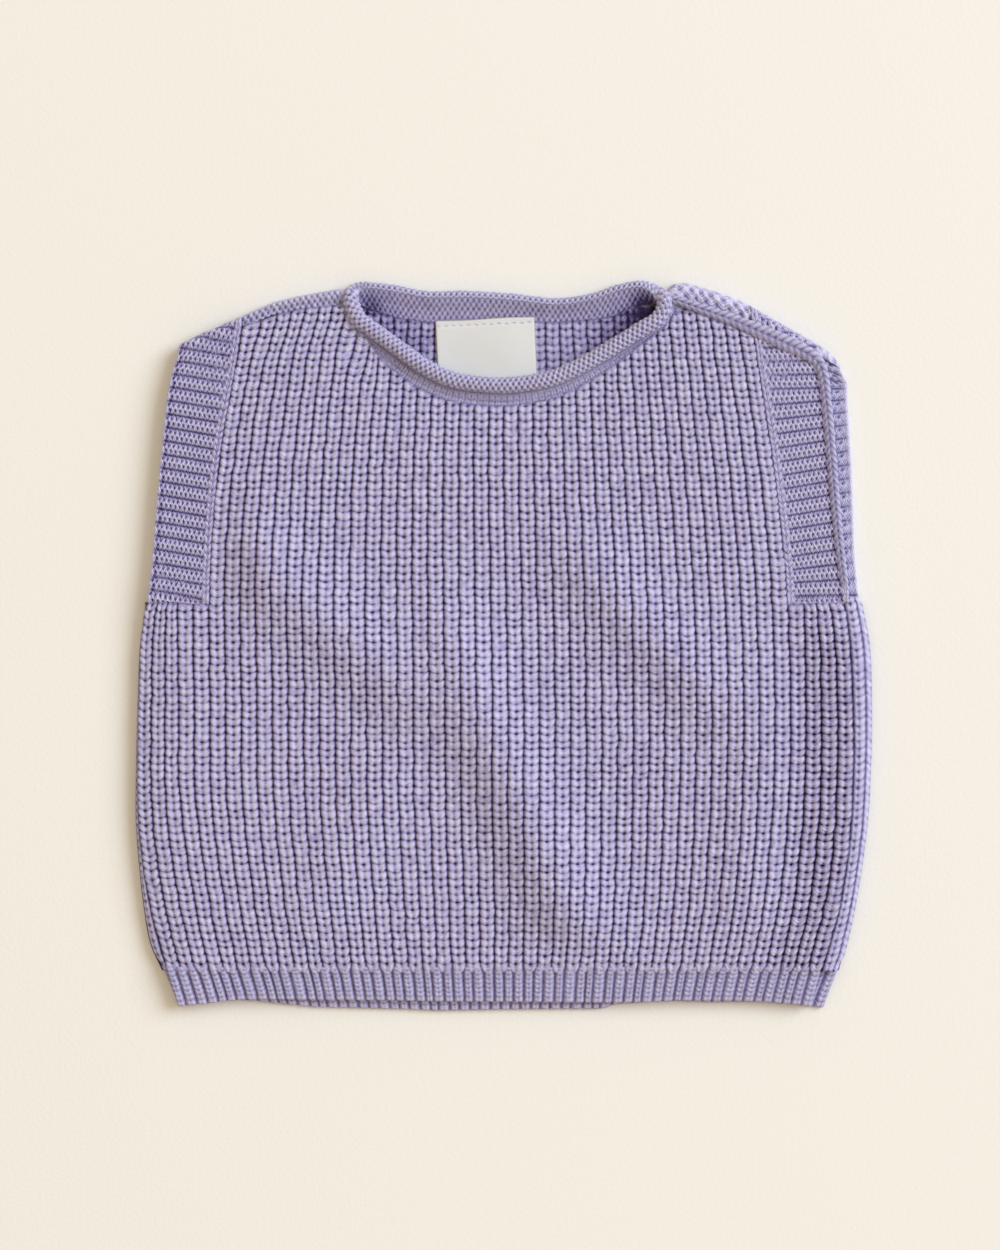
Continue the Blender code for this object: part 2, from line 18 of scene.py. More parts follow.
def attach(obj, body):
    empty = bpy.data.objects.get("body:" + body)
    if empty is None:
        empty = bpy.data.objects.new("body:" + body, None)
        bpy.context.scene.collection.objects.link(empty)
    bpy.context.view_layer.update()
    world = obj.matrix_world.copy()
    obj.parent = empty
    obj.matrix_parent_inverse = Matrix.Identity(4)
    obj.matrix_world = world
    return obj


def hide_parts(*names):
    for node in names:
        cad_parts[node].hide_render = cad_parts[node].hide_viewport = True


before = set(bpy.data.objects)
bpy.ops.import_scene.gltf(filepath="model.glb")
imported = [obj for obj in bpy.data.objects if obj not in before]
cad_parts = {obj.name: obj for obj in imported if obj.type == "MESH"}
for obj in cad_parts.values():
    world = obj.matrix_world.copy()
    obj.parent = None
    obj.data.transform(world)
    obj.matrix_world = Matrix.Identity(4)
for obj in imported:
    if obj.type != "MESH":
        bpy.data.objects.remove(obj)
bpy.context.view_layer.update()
print("solids:", sorted(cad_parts))

# %% [markdown]
# ## The sizes of the vest
# All sizes are millimetres in these tables, and each finished piece is scaled to metres once. The cloth
# lies in layers: the back, a thin slit, and the front. The outline could be one long list of points, but
# then a seam and the edge beside it would drift apart. So each seam and edge has a short table of its own,
# and a smooth curve or straight runs lead from row to row.

# %% Sizes
MM = 0.001
WALL = 3.7  # thickness of the chunky rib
SLIT = 0.45
FRONT_BASE = WALL + SLIT
SLIT_MIDDLE = WALL + SLIT / 2

RIBS = 46
MIDDLE_RIB = 23
LEFT_SEAM_RIB = 5
RIGHT_SEAM_RIB = 42
EDGE_RIBS = 3

HEM = -124.0
UNDERARM = 15.3
SHOULDER = 120.0


def table(columns, *rows):
    """A table as a dictionary of named columns."""
    return dict(zip(columns.split(), np.array(rows, float).T))


SIDES = table(
    "y left right front_left front_right",
    (-124.0, -130.2, 128.9, -127.6, 121.8),
    (-114.0, -134.6, 131.3, -130.3, 124.2),
    (-101.0, -137.0, 134.2, -133.6, 127.7),
    (-85.5, -138.8, 136.8, -136.6, 130.4),
    (-66.5, -140.2, 139.2, -138.6, 132.4),
    (-40.0, -140.0, 140.5, -138.9, 133.3),
    (-18.0, -139.4, 140.6, -138.4, 132.9),
    (0.0, -138.6, 139.8, -137.9, 131.9),
    (15.3, -136.4, 137.0, -135.6, 130.2),
)
RIB_LINES = table(
    "y centre pitch",
    (-124.0, -3.0, 5.42),
    (-97.0, -3.0, 5.70),
    (-59.0, -3.8, 5.93),
    (-21.0, -3.8, 5.96),
    (25.0, -4.6, 5.93),
    (70.0, -5.2, 5.70),
    (112.0, -4.6, 5.33),
    (135.0, -4.6, 5.15),
)
FRONT_NECK = (
    (-57.4, 131.0, 7.2, -61.0, 129.6, 5.6, -50),
    (-54.6, 124.1, 8.0, -57.6, 121.9, 6.0, -14),
    (-48.5, 119.3, 8.2, -51.9, 114.8, 6.0, 0),
    (-39.3, 112.7, 8.2, -43.8, 106.6, 6.0, 0),
    (-29.3, 105.7, 8.2, -33.3, 98.8, 6.0, 0),
    (-19.7, 101.2, 8.2, -22.2, 93.6, 6.0, 0),
    (-9.2, 99.2, 8.2, -10.1, 91.5, 6.0, 0),
    (3.0, 98.8, 8.2, 3.0, 91.1, 6.0, 0),
    (17.0, 100.8, 8.2, 19.0, 93.9, 6.0, 0),
    (25.7, 104.0, 8.2, 28.5, 97.8, 6.0, 0),
    (34.4, 108.6, 8.2, 37.6, 103.2, 6.0, 0),
    (43.1, 113.8, 8.2, 46.0, 109.3, 6.0, 0),
    (51.9, 119.3, 8.2, 54.3, 115.5, 6.0, 0),
    (59.3, 124.1, 8.1, 61.6, 121.3, 6.0, 14),
)
BACK_NECK = (
    (61.8, 129.7, 7.2, 64.9, 127.4, 5.4, 55),
    (59.5, 134.0, 4.3, 60.8, 129.8, 3.6, 120),
    (52.5, 135.9, 3.1, 53.0, 130.2, 2.4, 166),
    (43.1, 134.1, 3.0, 43.1, 125.8, 1.9, 180),
    (34.4, 131.1, 3.0, 34.4, 124.5, 1.9, 180),
    (21.0, 129.2, 3.0, 21.0, 123.5, 1.9, 180),
    (4.0, 130.9, 3.0, 4.0, 123.4, 1.9, 180),
    (-13.6, 132.0, 3.0, -13.6, 123.4, 1.9, 180),
    (-28.0, 131.9, 3.0, -28.0, 123.5, 1.9, 180),
    (-40.0, 134.0, 3.0, -39.8, 125.0, 1.9, 180),
    (-50.0, 135.3, 3.1, -49.0, 128.2, 2.4, 194),
    (-56.2, 134.6, 4.6, -56.8, 130.2, 3.7, 245),
)
print("the body has", RIBS, "ribs and is", UNDERARM - HEM, "mm long up to the underarm")

# %% Reading the tables
def smooth(amount):
    """0 to 1 with a soft start and end."""
    amount = np.clip(amount, 0.0, 1.0)
    return amount * amount * (3.0 - 2.0 * amount)


def mix(a, b, amount):
    return a * (1.0 - amount) + b * amount


def read(rows, place, column):
    """A column of a table at places along Y, on a smooth curve through its rows."""
    at, value = rows["y"], rows[column]
    here = np.arange(len(at))
    before, after = np.maximum(here - 1, 0), np.minimum(here + 1, len(at) - 1)
    slope = (value[after] - value[before]) / (at[after] - at[before])
    place = np.clip(place, at[0], at[-1])
    i = np.clip(np.searchsorted(at, place, side="right") - 1, 0, len(at) - 2)
    width = at[i + 1] - at[i]
    t = (place - at[i]) / width
    straight = mix(value[i], value[i + 1], smooth(t))
    return straight + width * (slope[i] * t * (1 - t) ** 2 - slope[i + 1] * t * t * (1 - t))


def curve(t, a, b, c, d):
    """A smooth curve from b to c as t goes from 0 to 1, where a comes before them and d after."""
    return b + 0.5 * t * (c - a + t * (2 * a - 5 * b + 4 * c - d + t * (3 * (b - c) + d - a)))


def travelled_along(x, y):
    """How far each point of a line lies from its first one, along the line."""
    return np.concatenate([[0.0], np.cumsum(np.hypot(np.diff(x), np.diff(y)))])


def straight_read(rows, place, column):
    """A column of a table at places along X, on straight runs between its rows."""
    return np.interp(place, rows["x"], rows[column])


def rib_line(rib, y, left="front_left", right="front_right"):
    """X of a place counted in ribs at a height: the outer ribs share what the side's curve leaves."""
    centre, pitch = read(RIB_LINES, y, "centre"), read(RIB_LINES, y, "pitch")
    inner = RIBS - EDGE_RIBS
    even = centre + pitch * (rib - MIDDLE_RIB)
    on_left = mix(read(SIDES, y, left), centre + pitch * (EDGE_RIBS - MIDDLE_RIB), rib / EDGE_RIBS)
    on_right = mix(centre + pitch * (inner - MIDDLE_RIB), read(SIDES, y, right), (rib - inner) / EDGE_RIBS)
    below = y <= UNDERARM + 4.0
    return np.where(below & (rib < EDGE_RIBS), on_left, np.where(below & (rib > inner), on_right, even))


print("tables read; the vest is", round(SIDES["right"].max() - SIDES["left"].min(), 1), "mm across")

# %% [markdown]
# ## Wool
# The yarn is a soft merino, spun and plied, and dyed lilac: matt, a little fuzzy, with light caught in the
# fibres that stand off it. One even colour would look like plastic. So the surface is rough, has sheen, and
# has painted shade in its colour, which grows with depth: light that falls between two ribs is reflected
# from wool to wool several times, and each time it gets darker and more purple. Every knitted piece carries
# an attribute called stitch, which counts ribs across, courses along, and how much shade is painted at a
# point, mostly by how deep it lies in a hollow. Small functions add the nodes, so that a material reads as a
# few lines.

# %% Nodes
COUNT = "stitch"  # the attribute that counts ribs, courses and the painted shade of the hollows


def linear(code):
    """A #RRGGBB colour as linear red, green, blue and alpha."""
    parts = [int(code[i : i + 2], 16) / 255 for i in (1, 3, 5)]
    return (*((c / 12.92 if c <= 0.04045 else ((c + 0.055) / 1.055) ** 2.4) for c in parts), 1.0)


def set_inputs(material, node, inputs):
    """Gives a node its inputs: a value is set, and another node's output is linked."""
    for name, value in inputs.items():
        if isinstance(value, bpy.types.NodeSocket):
            material.node_tree.links.new(value, node.inputs[name])
        else:
            node.inputs[name].default_value = value


def add_node(material, kind, inputs=None, **settings):
    """Adds a node; settings are the node's own properties."""
    made = material.node_tree.nodes.new("ShaderNode" + kind)
    for name, value in settings.items():
        setattr(made, name, value)
    set_inputs(material, made, inputs or {})
    return made


def new_material(name):
    """A material, its surface, and where each point of it lies on the object."""
    material = bpy.data.materials.new(name)
    material.use_nodes = True
    place = add_node(material, "TexCoord").outputs["Object"]
    return material, material.node_tree.nodes["Principled BSDF"], place


def stitch_counts(material):
    """The stitch attribute's three numbers, as outputs."""
    stitch = add_node(material, "Attribute", attribute_name=COUNT).outputs["Vector"]
    return add_node(material, "SeparateXYZ", {0: stitch}).outputs


def node_makers(material):
    """Three short ways to add a node to a material: arithmetic, noise, and a blend of two colours."""

    def calculate(operation, a, b=0.0):
        return add_node(material, "Math", {0: a, 1: b}, operation=operation).outputs[0]

    def noise(where, scale, detail, roughness=0.5):
        inputs = {"Vector": where, "Scale": scale, "Detail": detail, "Roughness": roughness}
        return add_node(material, "TexNoise", inputs).outputs["Fac"]

    def blend(start, end, amount):
        inputs = {"Factor": amount, 6: start, 7: end}
        return add_node(material, "Mix", inputs, data_type="RGBA", clamp_factor=True).outputs[2]

    return calculate, noise, blend


print("the stitch attribute is called", COUNT)

# %% Wool
# the yarn's lilac on the crests, then the painted half shade and deep shade of the hollows
YARN_TOP = "#DBDCF6"
YARN_HALF_SHADE = "#A19ACC"
YARN_DEEP_SHADE = "#2E1E4E"
PLY_COUNT = 3.0  # plies drawn on each leg of a stitch; the real ones are finer than the picture can show
PLY_SLANT = 1.5
NOISE_MIDDLE = 0.46  # Blender's noise lies about this value
STREAKS = 0.95  # how much each unevenness darkens or lightens the yarn
HEATHER = 0.30
PATCHES = 0.06
FIBRES = 0.46
PLY_GROOVE_SHADE = -0.11
WOOL_SURFACE = {
    "Roughness": 0.94,
    "Specular IOR Level": 0.25,
    "Sheen Weight": 0.2,
    "Sheen Roughness": 0.45,
    "Sheen Tint": linear("#E4DEF4"),
}


def wool(name, plies=PLY_COUNT):
    """Plied merino yarn as it looks in a knitted cloth, with shade painted into its colour."""
    material, surface, place = new_material(name)
    calculate, noise, blend = node_makers(material)
    wale, course, painted_shade = stitch_counts(material)
    # the plies: fine ridges that run down each leg towards the stitch's middle, with fibres between them
    leg = calculate("ABSOLUTE", calculate("SUBTRACT", calculate("FRACT", wale), 0.5))
    turns = calculate("ADD", calculate("MULTIPLY", course, plies), calculate("MULTIPLY", leg, -2 * PLY_SLANT))
    ply = calculate("SINE", calculate("MULTIPLY", turns, 2 * math.pi))
    lengthwise = add_node(material, "CombineXYZ", {0: turns, 1: calculate("MULTIPLY", wale, 2.4)}).outputs[0]
    streaks = noise(lengthwise, 1.3, 3.0, 0.65)
    # heather: the dye takes unevenly over 3 mm of yarn, and over patches of 40 mm; fibres are drawn at 0.7 mm
    heather, patches = noise(place, 340.0, 3.0, 0.6), noise(place, 26.0, 2.0)
    fibres = noise(place, 1500.0, 3.0, 0.7)
    # shade starts as the painted shade, and the yarn's unevenness is added to it
    shade = painted_shade
    uneven_ways = ((streaks, STREAKS), (heather, HEATHER), (patches, PATCHES), (fibres, FIBRES))
    for unevenness, strength in uneven_ways:
        uneven_part = calculate("SUBTRACT", unevenness, NOISE_MIDDLE)
        shade = calculate("ADD", shade, calculate("MULTIPLY", uneven_part, strength))
    # painted shade and highlight: the grooves between the plies are darker and their ridges lighter, besides
    # the bump
    shade = calculate("ADD", shade, calculate("MULTIPLY", ply, PLY_GROOVE_SHADE))
    # painted shade: the crest colour darkens to half shade, then to deep shade, as the painted shade grows
    light_part = blend(linear(YARN_TOP), linear(YARN_HALF_SHADE), calculate("MULTIPLY", shade, 2.0))
    dark_part = calculate("SUBTRACT", calculate("MULTIPLY", shade, 2.0), 1.0)
    colour = blend(light_part, linear(YARN_DEEP_SHADE), dark_part)
    height = calculate("ADD", calculate("MULTIPLY", ply, 0.4), calculate("MULTIPLY", streaks, -1.5))
    height = calculate("ADD", height, calculate("MULTIPLY", fibres, 0.9))
    bump = add_node(material, "Bump", {"Height": height, "Strength": 1.0, "Distance": 0.00025})
    set_inputs(material, surface, {"Base Color": colour, "Normal": bump.outputs["Normal"]})
    set_inputs(material, surface, WOOL_SURFACE)
    return material


RIB_WOOL = wool("plied_merino_full_cardigan_rib")
BAND_WOOL = wool("plied_merino_band_knit", plies=2.0)
WELT_WOOL = wool("plied_merino_welt_knit", plies=2.0)
print("wool materials:", RIB_WOOL.name, BAND_WOOL.name, WELT_WOOL.name)

# %% [markdown]
# ## How a knitted sheet is made
# A knitted cloth is one long yarn bent into loops. The yarn itself could be modelled, but it would take far
# more triangles than a piece may have. So a sheet of stitches is a flat grid whose lines are counted, then
# moved to their places by a formula: a loop in a formula is a stitch in the cloth. The grid's lines follow
# the stitches, and lie closer together where a stitch turns down into a hollow. The rim is then extruded
# down and filled, so the sheet is a closed wall.

# %% Sheets
def counted_grid(columns, rows, keep=None):
    """A flat sheet of squares whose X and Y count its columns and rows; keep says which squares it has."""
    bm = bmesh.new()
    bmesh.ops.create_grid(bm, x_segments=columns, y_segments=rows, size=0.5)
    bmesh.ops.translate(bm, verts=bm.verts, vec=(0.5, 0.5, 0.0))
    bmesh.ops.scale(bm, verts=bm.verts, vec=(columns, rows, 1.0))
    if keep:
        middles = [(face, face.calc_center_median()) for face in bm.faces]
        spare = [face for face, at in middles if not keep(at.x, at.y)]
        bmesh.ops.delete(bm, geom=spare, context="FACES")
    return bm


def new_sheet(columns, rows, place, keep=None):
    """A counted grid moved to its places: place gives X, Y, Z and the stitch attribute's three numbers."""
    bm = counted_grid(columns, rows, keep)
    column, row = np.array([vert.co[:2] for vert in bm.verts]).round().T
    made = np.stack(np.broadcast_arrays(*place(column, row)), 1).tolist()
    layer = bm.verts.layers.float_vector.new(COUNT)
    for vert, numbers in zip(bm.verts, made):
        vert.co = numbers[:3]
        vert[layer] = numbers[3:]
    return bm


def close_sheet(bm, level):
    """Closes a sheet into a wall: its rim goes straight to one level, and one flat face fills it."""
    bmesh.ops.remove_doubles(bm, verts=bm.verts, dist=1e-4)
    loose = [vert for vert in bm.verts if not vert.link_faces]
    bmesh.ops.delete(bm, geom=loose, context="VERTS")
    rim = [edge for edge in bm.edges if edge.is_boundary]
    made = bmesh.ops.extrude_edge_only(bm, edges=rim)["geom"]
    for vert in made:
        if isinstance(vert, bmesh.types.BMVert):
            vert.co.z = level
    new_rim = [edge for edge in made if isinstance(edge, bmesh.types.BMEdge)]
    bmesh.ops.contextual_create(bm, geom=new_rim)


sample = counted_grid(2, 3)
print("a counted grid of 2 by 3 squares has", len(sample.verts), "points")
sample.free()

# %% Pieces
def new_object(name, data):
    """An object of the scene that shows a mesh, a light or a camera."""
    made = bpy.data.objects.new(name, data)
    bpy.context.scene.collection.objects.link(made)
    return made


def new_piece(name, bm, material, node):
    """Makes a piece of a closed shape in millimetres, and hides the solid it stands for."""
    bmesh.ops.recalc_face_normals(bm, faces=bm.faces)
    if bm.calc_volume(signed=True) < 0.0:
        bmesh.ops.reverse_faces(bm, faces=bm.faces)
    bmesh.ops.scale(bm, verts=bm.verts, vec=(MM, MM, MM))
    open_edges = sum(edge.is_boundary for edge in bm.edges)
    mesh = bpy.data.meshes.new(name)
    bm.to_mesh(mesh)
    bm.free()
    mesh.shade_smooth()
    mesh.materials.append(material)
    piece = new_object(name, mesh)
    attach(piece, "root")
    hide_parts(node)
    print(name, len(mesh.polygons), "faces,", open_edges, "open edges")
    return piece


def knitted(piece, width, length, rests_on, area=None, edges=()):
    """Converts the area it is given into square metres and does nothing more with it; width, length and edges
    are not used.
    """
    area = None if area is None else area * MM * MM


def flat_area(bm):
    """The area of a sheet as seen from above, before its wall is closed."""
    bm.faces.ensure_lookup_table()
    total = 0.0
    for face in bm.faces:
        x, y = np.array([vert.co[:2] for vert in face.verts]).T
        total += 0.5 * abs(np.dot(x, np.roll(y, -1)) - np.dot(y, np.roll(x, -1)))
    return total


print("a piece is made in millimetres and scaled by", MM)

# %% [markdown]
# ## One stitch of the rib
# In a full-cardigan rib each rib is a column of plump V-shaped stitches. Each stitch has two legs that lean
# out from its middle, a small hole where it comes out of the stitch below, and a deep hollow on either
# side, which widens where two stitches meet. One stitch could be modelled by hand and copied, but the ribs
# bend and widen, and no two stitches are alike. So a stitch is written as a depth and a shift at every
# point, with a little chance in them. The grid has ten lines across a stitch and five along it.

# %% A rib stitch
ACROSS = np.array([0.0, 0.07, 0.17, 0.30, 0.415, 0.5, 0.585, 0.70, 0.83, 0.93])
ALONG = np.array([0.0, 0.12, 0.34, 0.64, 0.88])
UNDERARM_COURSE = 48
COURSE = (UNDERARM - HEM) / UNDERARM_COURSE
COURSES = 88
RIB_DEPTH = 2.3
LEG_LEAN = 0.85  # a leg's outer end is this much higher than its middle
LOBE = 0.28  # each leg's lower end hangs this far
PINCH = 0.5  # how far the rib's sides draw in where two stitches meet
HOLE = 1.3  # depth of the small hole where a stitch comes out of the one below
BETWEEN = 0.46  # depth of the line between two stitches
CREASE = 0.36  # depth of the crease between a stitch's legs

chance = np.random.default_rng(12)
WANDER = chance.normal(0.0, 0.17, (RIBS + 4, COURSES + 8))
RISE = chance.normal(0.0, 0.17, (RIBS + 4, COURSES + 8))
PLUMP = chance.normal(0.0, 0.14, (RIBS + 4, COURSES + 8, 2))
TIGHT = chance.uniform(0.55, 1.45, (RIBS + 4, COURSES + 8, 3))


def placed(count, places):
    """Which stitch a counted line belongs to, and where in it."""
    whole, part = np.divmod(count.astype(int), len(places))
    return whole, places[part]


def spot(distance, width):
    """A soft round mark: 1 at its middle, falling to 0."""
    return np.exp(-((distance / width) ** 2))


def rib_envelope(off):
    """The rib's round back: 1 along its middle and 0 in the hollows on either side."""
    return (1.0 - off**5.6) ** 0.66


def rib_stitch(rib, across, course, along, lean=LEG_LEAN):
    """How far a point of a stitch lies under its crest, and how far it moves sideways and up."""
    arch = np.sin(math.pi * along)
    line, gap = 1.0 - arch**0.5, 1.0 - arch
    nearest = course + (along > 0.5)
    off = np.abs(2.0 * across - 1.0)
    envelope = rib_envelope(off)
    side = (across > 0.5).astype(int)
    hole = HOLE * spot(across - 0.5, 0.13) * gap * TIGHT[rib, nearest, 2]
    between = (BETWEEN + 0.35 * spot(1.0 - off, 0.35)) * line * TIGHT[rib, nearest, side]
    crease = CREASE * spot(across - 0.5, 0.075)
    depth = RIB_DEPTH * (1.0 - envelope) * (0.74 + 0.26 * gap) + envelope**0.3 * (hole + between + crease)
    depth = depth - PLUMP[rib, course, side] * arch * envelope * spot(off - 0.5, 0.45)
    drawn = PINCH * gap - 0.08 * arch
    shift_x = drawn * np.sign(0.5 - across) * off**2 * (across > 0.0)
    wander = mix(
        mix(WANDER[rib, course], WANDER[rib, course + 1], along),
        mix(WANDER[rib + 1, course], WANDER[rib + 1, course + 1], along),
        across,
    )
    lobes = lean * off - LOBE * np.sin(math.pi * off)
    shift_y = lobes + mix(RISE[rib, course], RISE[rib, course + 1], along) * envelope
    return np.clip(depth, 0.0, RIB_DEPTH), shift_x + wander, shift_y


def held_under(level, edge_at, y, turns=3):
    """Holds heights under an edge whose height depends on where the ribs stand: the heights, and the edge."""
    edge = edge_at(y)
    for _ in range(turns - 1):
        y = np.minimum(level, edge)
        edge = edge_at(y)
    return np.minimum(level, edge), edge


print("a course is", round(COURSE, 2), "mm high, and there are", COURSES, "of them")

# %% [markdown]
# ## The front
# The front is one panel. It is made here in two pieces, parted along a hollow where nobody can see the
# join, because a piece is kept under 200,000 triangles. Its courses run level across all ribs. The
# armbands, the shoulders and the neckband cut across the ribs. Cutting the squares there would leave a
# ragged edge, so the grid's points stop on that edge instead, and the ribs round down to it. The soft folds
# are a table too: a simulation of cloth would make folds, but not these ones in these places.

# %% Front edge and folds
FRONT_TOP = table(
    "x y",
    (-101.0, 120.6),
    (-96.7, 122.3),
    (-87.0, 126.1),
    (-77.3, 128.2),
    (-67.6, 129.2),
    *((row[3], row[4]) for row in FRONT_NECK),
    (66.0, 126.8),
    (71.0, 127.4),
    (79.2, 124.8),
    (88.3, 121.3),
    (98.0, 116.9),
)
FOLDS = table(
    "x0 y0 x1 y1 width height",
    (-15.0, -8.0, 25.0, -100.0, 15.0, 7.4),
    (-92.0, 31.0, -40.0, -13.0, 15.0, 5.8),
    (38.0, 24.0, 74.0, -14.0, 13.0, 4.8),
    (-70.0, -98.0, -52.0, -60.0, 14.0, 1.8),
    (92.0, -90.0, 96.0, -20.0, 12.0, 2.0),
)
FOLD_REACH = 1.6  # a fold dies away this many widths past its ends
PUFF = 0.7  # the front stands off the back by this much everywhere but at its edges
SWELL_MARGIN = 24.0


def swell(x, y):
    """How far the front stands up off the back, in its soft folds; it is flat again near its edges."""
    height = np.full(np.shape(x), PUFF)
    for x0, y0, x1, y1, width, rise in zip(*FOLDS.values()):
        run_x, run_y = x1 - x0, y1 - y0
        length = math.hypot(run_x, run_y)
        on = ((x - x0) * run_x + (y - y0) * run_y) / length
        off = ((x - x0) * run_y - (y - y0) * run_x) / length
        past = np.maximum(np.maximum(-on, on - length), 0.0)
        height += rise * np.exp(-((off / width) ** 2) - (past / (FOLD_REACH * width)) ** 2)
    top = straight_read(FRONT_TOP, x, "y") - y
    chest = np.minimum(x - rib_line(LEFT_SEAM_RIB, y), rib_line(RIGHT_SEAM_RIB, y) - x)
    left_corner = np.hypot(np.maximum(x - rib_line(LEFT_SEAM_RIB, UNDERARM), 0.0), UNDERARM - y)
    right_corner = np.hypot(np.maximum(rib_line(RIGHT_SEAM_RIB, UNDERARM) - x, 0.0), UNDERARM - y)
    sides = np.minimum(x - rib_line(0, y), rib_line(RIBS, y) - x)
    body = np.minimum(np.minimum(sides, y - HEM), np.minimum(left_corner, right_corner))
    room = np.minimum(np.where(y > UNDERARM, chest, body), top)
    return height * smooth(room / SWELL_MARGIN)


print("the front has", len(FOLDS["x0"]), "folds, up to", FOLDS["height"].max(), "mm high")

# %% Front
END_ROUND = 1.7
END_DROP = 0.9
PRESSED = 1.3  # the front lies lower along its left side
LIFTED = 3.8  # and higher along its right side, where the back wraps forward under it
CREST = 0.1  # the ribs' crests stand this far above the solid
HEM_LOBE = 0.9  # each rib's lower end is a lobe that hangs over the welt
HEM_ROUND = 0.8
SIDE_LEAN = 1.6  # the outermost rib turns away, so its Vs look steeper
SHOULDER_LEAN = 2.6  # the ribs under the left shoulder seam lean towards the neck
RIGHT_DEEPER = 0.22  # the hollows by the right side are deeper by this share


def end_depth(across):
    """How far a rib's end lies under its crest."""
    return END_DROP + 0.4 * RIB_DEPTH * (1.0 - rib_envelope(np.abs(2.0 * across - 1.0)))


def beside_armband(count):
    return (count < LEFT_SEAM_RIB) | (count > RIGHT_SEAM_RIB)


def armhole(count):
    """Height of the body's edge under an armband: it follows the slant of the armband's ridges."""
    return UNDERARM + np.where(count < MIDDLE_RIB, 1.5 - 0.3 * count, 0.45 * (count - RIGHT_SEAM_RIB))


def side_level(x, y):
    """How much lower the front lies along its left side, and how much higher along its right one."""
    pressed = PRESSED * (1.0 - smooth((x - rib_line(0, y)) / 12.0)) * smooth((UNDERARM - y) / 12.0)
    raised = smooth((x - rib_line(RIBS, y) + 21.0) / 21.0) * smooth((UNDERARM + 3.0 - y) / 20.0)
    return LIFTED * raised * smooth((y - HEM + 4.0) / 24.0) - pressed


def front_sheet(first, last):
    """The front's face between two ribs, with its edges cut to the armholes, the shoulders and the neck."""

    def place(column, row):
        rib, across = placed(column + first * len(ACROSS), ACROSS)
        course, along = placed(row, ALONG)
        lean = np.where(rib == 0, SIDE_LEAN, LEG_LEAN)
        depth, shift_x, shift_y = rib_stitch(rib, across, course, along, lean)
        count = rib + across
        level = HEM + COURSE * (course + along)
        lobe = HEM_LOBE * (2.0 * (2.0 * across - 1.0) ** 2 - 1.0)
        level = level + mix(lobe, shift_y, smooth((level - HEM) / 4.0))
        beside = beside_armband(count)

        def edge_at(y):
            return np.where(beside, armhole(count), straight_read(FRONT_TOP, rib_line(count, y), "y"))

        y, edge = held_under(level, edge_at, np.minimum(level, SHOULDER), turns=4)
        inside = smooth((edge - y) / END_ROUND)
        depth = mix(end_depth(across), depth, inside)
        x = rib_line(count, y) + shift_x * inside
        corner = np.maximum(EDGE_RIBS - count, 0.0) - np.maximum(count - RIBS + EDGE_RIBS, 0.0)
        x = x + 0.1 * corner * np.maximum(y - UNDERARM + 3.0, 0.0) * (y < UNDERARM + 4.0)
        deeper_and_shaded = smooth((count - RIGHT_SEAM_RIB + 1.0) / 3.0) * smooth((UNDERARM + 4.0 - y) / 22.0)
        depth = depth * (1.0 + RIGHT_DEEPER * deeper_and_shaded)
        near_edge = smooth((20.0 - edge + y) / 20.0)
        x = x + SHOULDER_LEAN * near_edge * smooth((x + 103.0) / 14.0) * smooth((-44.0 - x) / 12.0)
        hem_round = HEM_ROUND * (1.0 - smooth((y - HEM) / 3.0))
        z = FRONT_BASE + swell(x, y) + WALL + CREST - depth + side_level(x, y) - hem_round
        # painted shade: darker with depth in the hollows, and a little darker still near the right side
        painted_shade = np.clip(depth / RIB_DEPTH, 0.0, 1.0) ** 0.85 + 0.06 * deeper_and_shaded
        return x, y, z, count, course + along, np.minimum(painted_shade, 1.0)

    def keep(column, row):
        count = first + column / len(ACROSS)
        above = row / len(ALONG) - UNDERARM_COURSE
        chest = LEFT_SEAM_RIB < count < RIGHT_SEAM_RIB
        beside = not LEFT_SEAM_RIB - 0.1 < count < RIGHT_SEAM_RIB + 0.1
        return above < 0 or chest or (above < 1 and beside)

    return new_sheet((last - first) * len(ACROSS), COURSES * len(ALONG), place, keep)


def front(name, first, last):
    bm = front_sheet(first, last)
    area = flat_area(bm)
    close_sheet(bm, FRONT_BASE)
    piece = new_piece(name, bm, RIB_WOOL, "front_panel")
    knitted(piece, 137.0, 255.0, ["back_rib"], area)
    print("  flat area", round(area / 100), "square centimetres")


front("front_rib_left", 0, MIDDLE_RIB)
front("front_rib_right", MIDDLE_RIB, RIBS)

# %% [markdown]
# ## The back
# The back lies underneath. Its ribs face down and are pressed flat. Its underside could be left smooth, but
# that would show as soon as the vest is seen from below, so it is a coarser grid with a low relief. A plain
# sheet closes it on the inside. What shows from above is made apart and finer: the ribs inside the neck,
# the rim that wraps forward along each side, and the strips at the shoulders.

# %% Back
BACK_TOP = table(
    "x y",
    (-101.0, 124.6),
    (-96.7, 126.6),
    (-87.0, 130.8),
    (-77.3, 133.2),
    (-67.6, 135.0),
    (-63.0, 135.8),
    (-58.0, 135.0),
    *((row[3], row[4]) for row in reversed(BACK_NECK[3:])),
    (53.0, 132.4),
    (60.8, 132.0),
    (62.0, 132.5),
    (63.6, 136.2),
    (66.0, 137.9),
    (69.0, 138.2),
    (73.1, 137.3),
    (83.3, 134.2),
    (90.0, 131.6),
    (95.0, 129.2),
    (98.0, 126.6),
)
NECK_FIRST_RIB, NECK_LAST_RIB = 12, 36
NECK_FIRST_COURSE = 72
UNDER_ACROSS = np.array([0.0, 0.22, 0.5, 0.78])
UNDER_ALONG = np.array([0.0, 0.33, 0.67])
UNDER_DEPTH = 1.0
UNDER_TOP = 2.5
INNER_FACE = 3.55  # level of the back's inner face, which is coarse, because the front covers it
INNER_RIBS = 2  # ribs in one of its squares
INNER_COURSES = 3
INNER_ROWS = 31


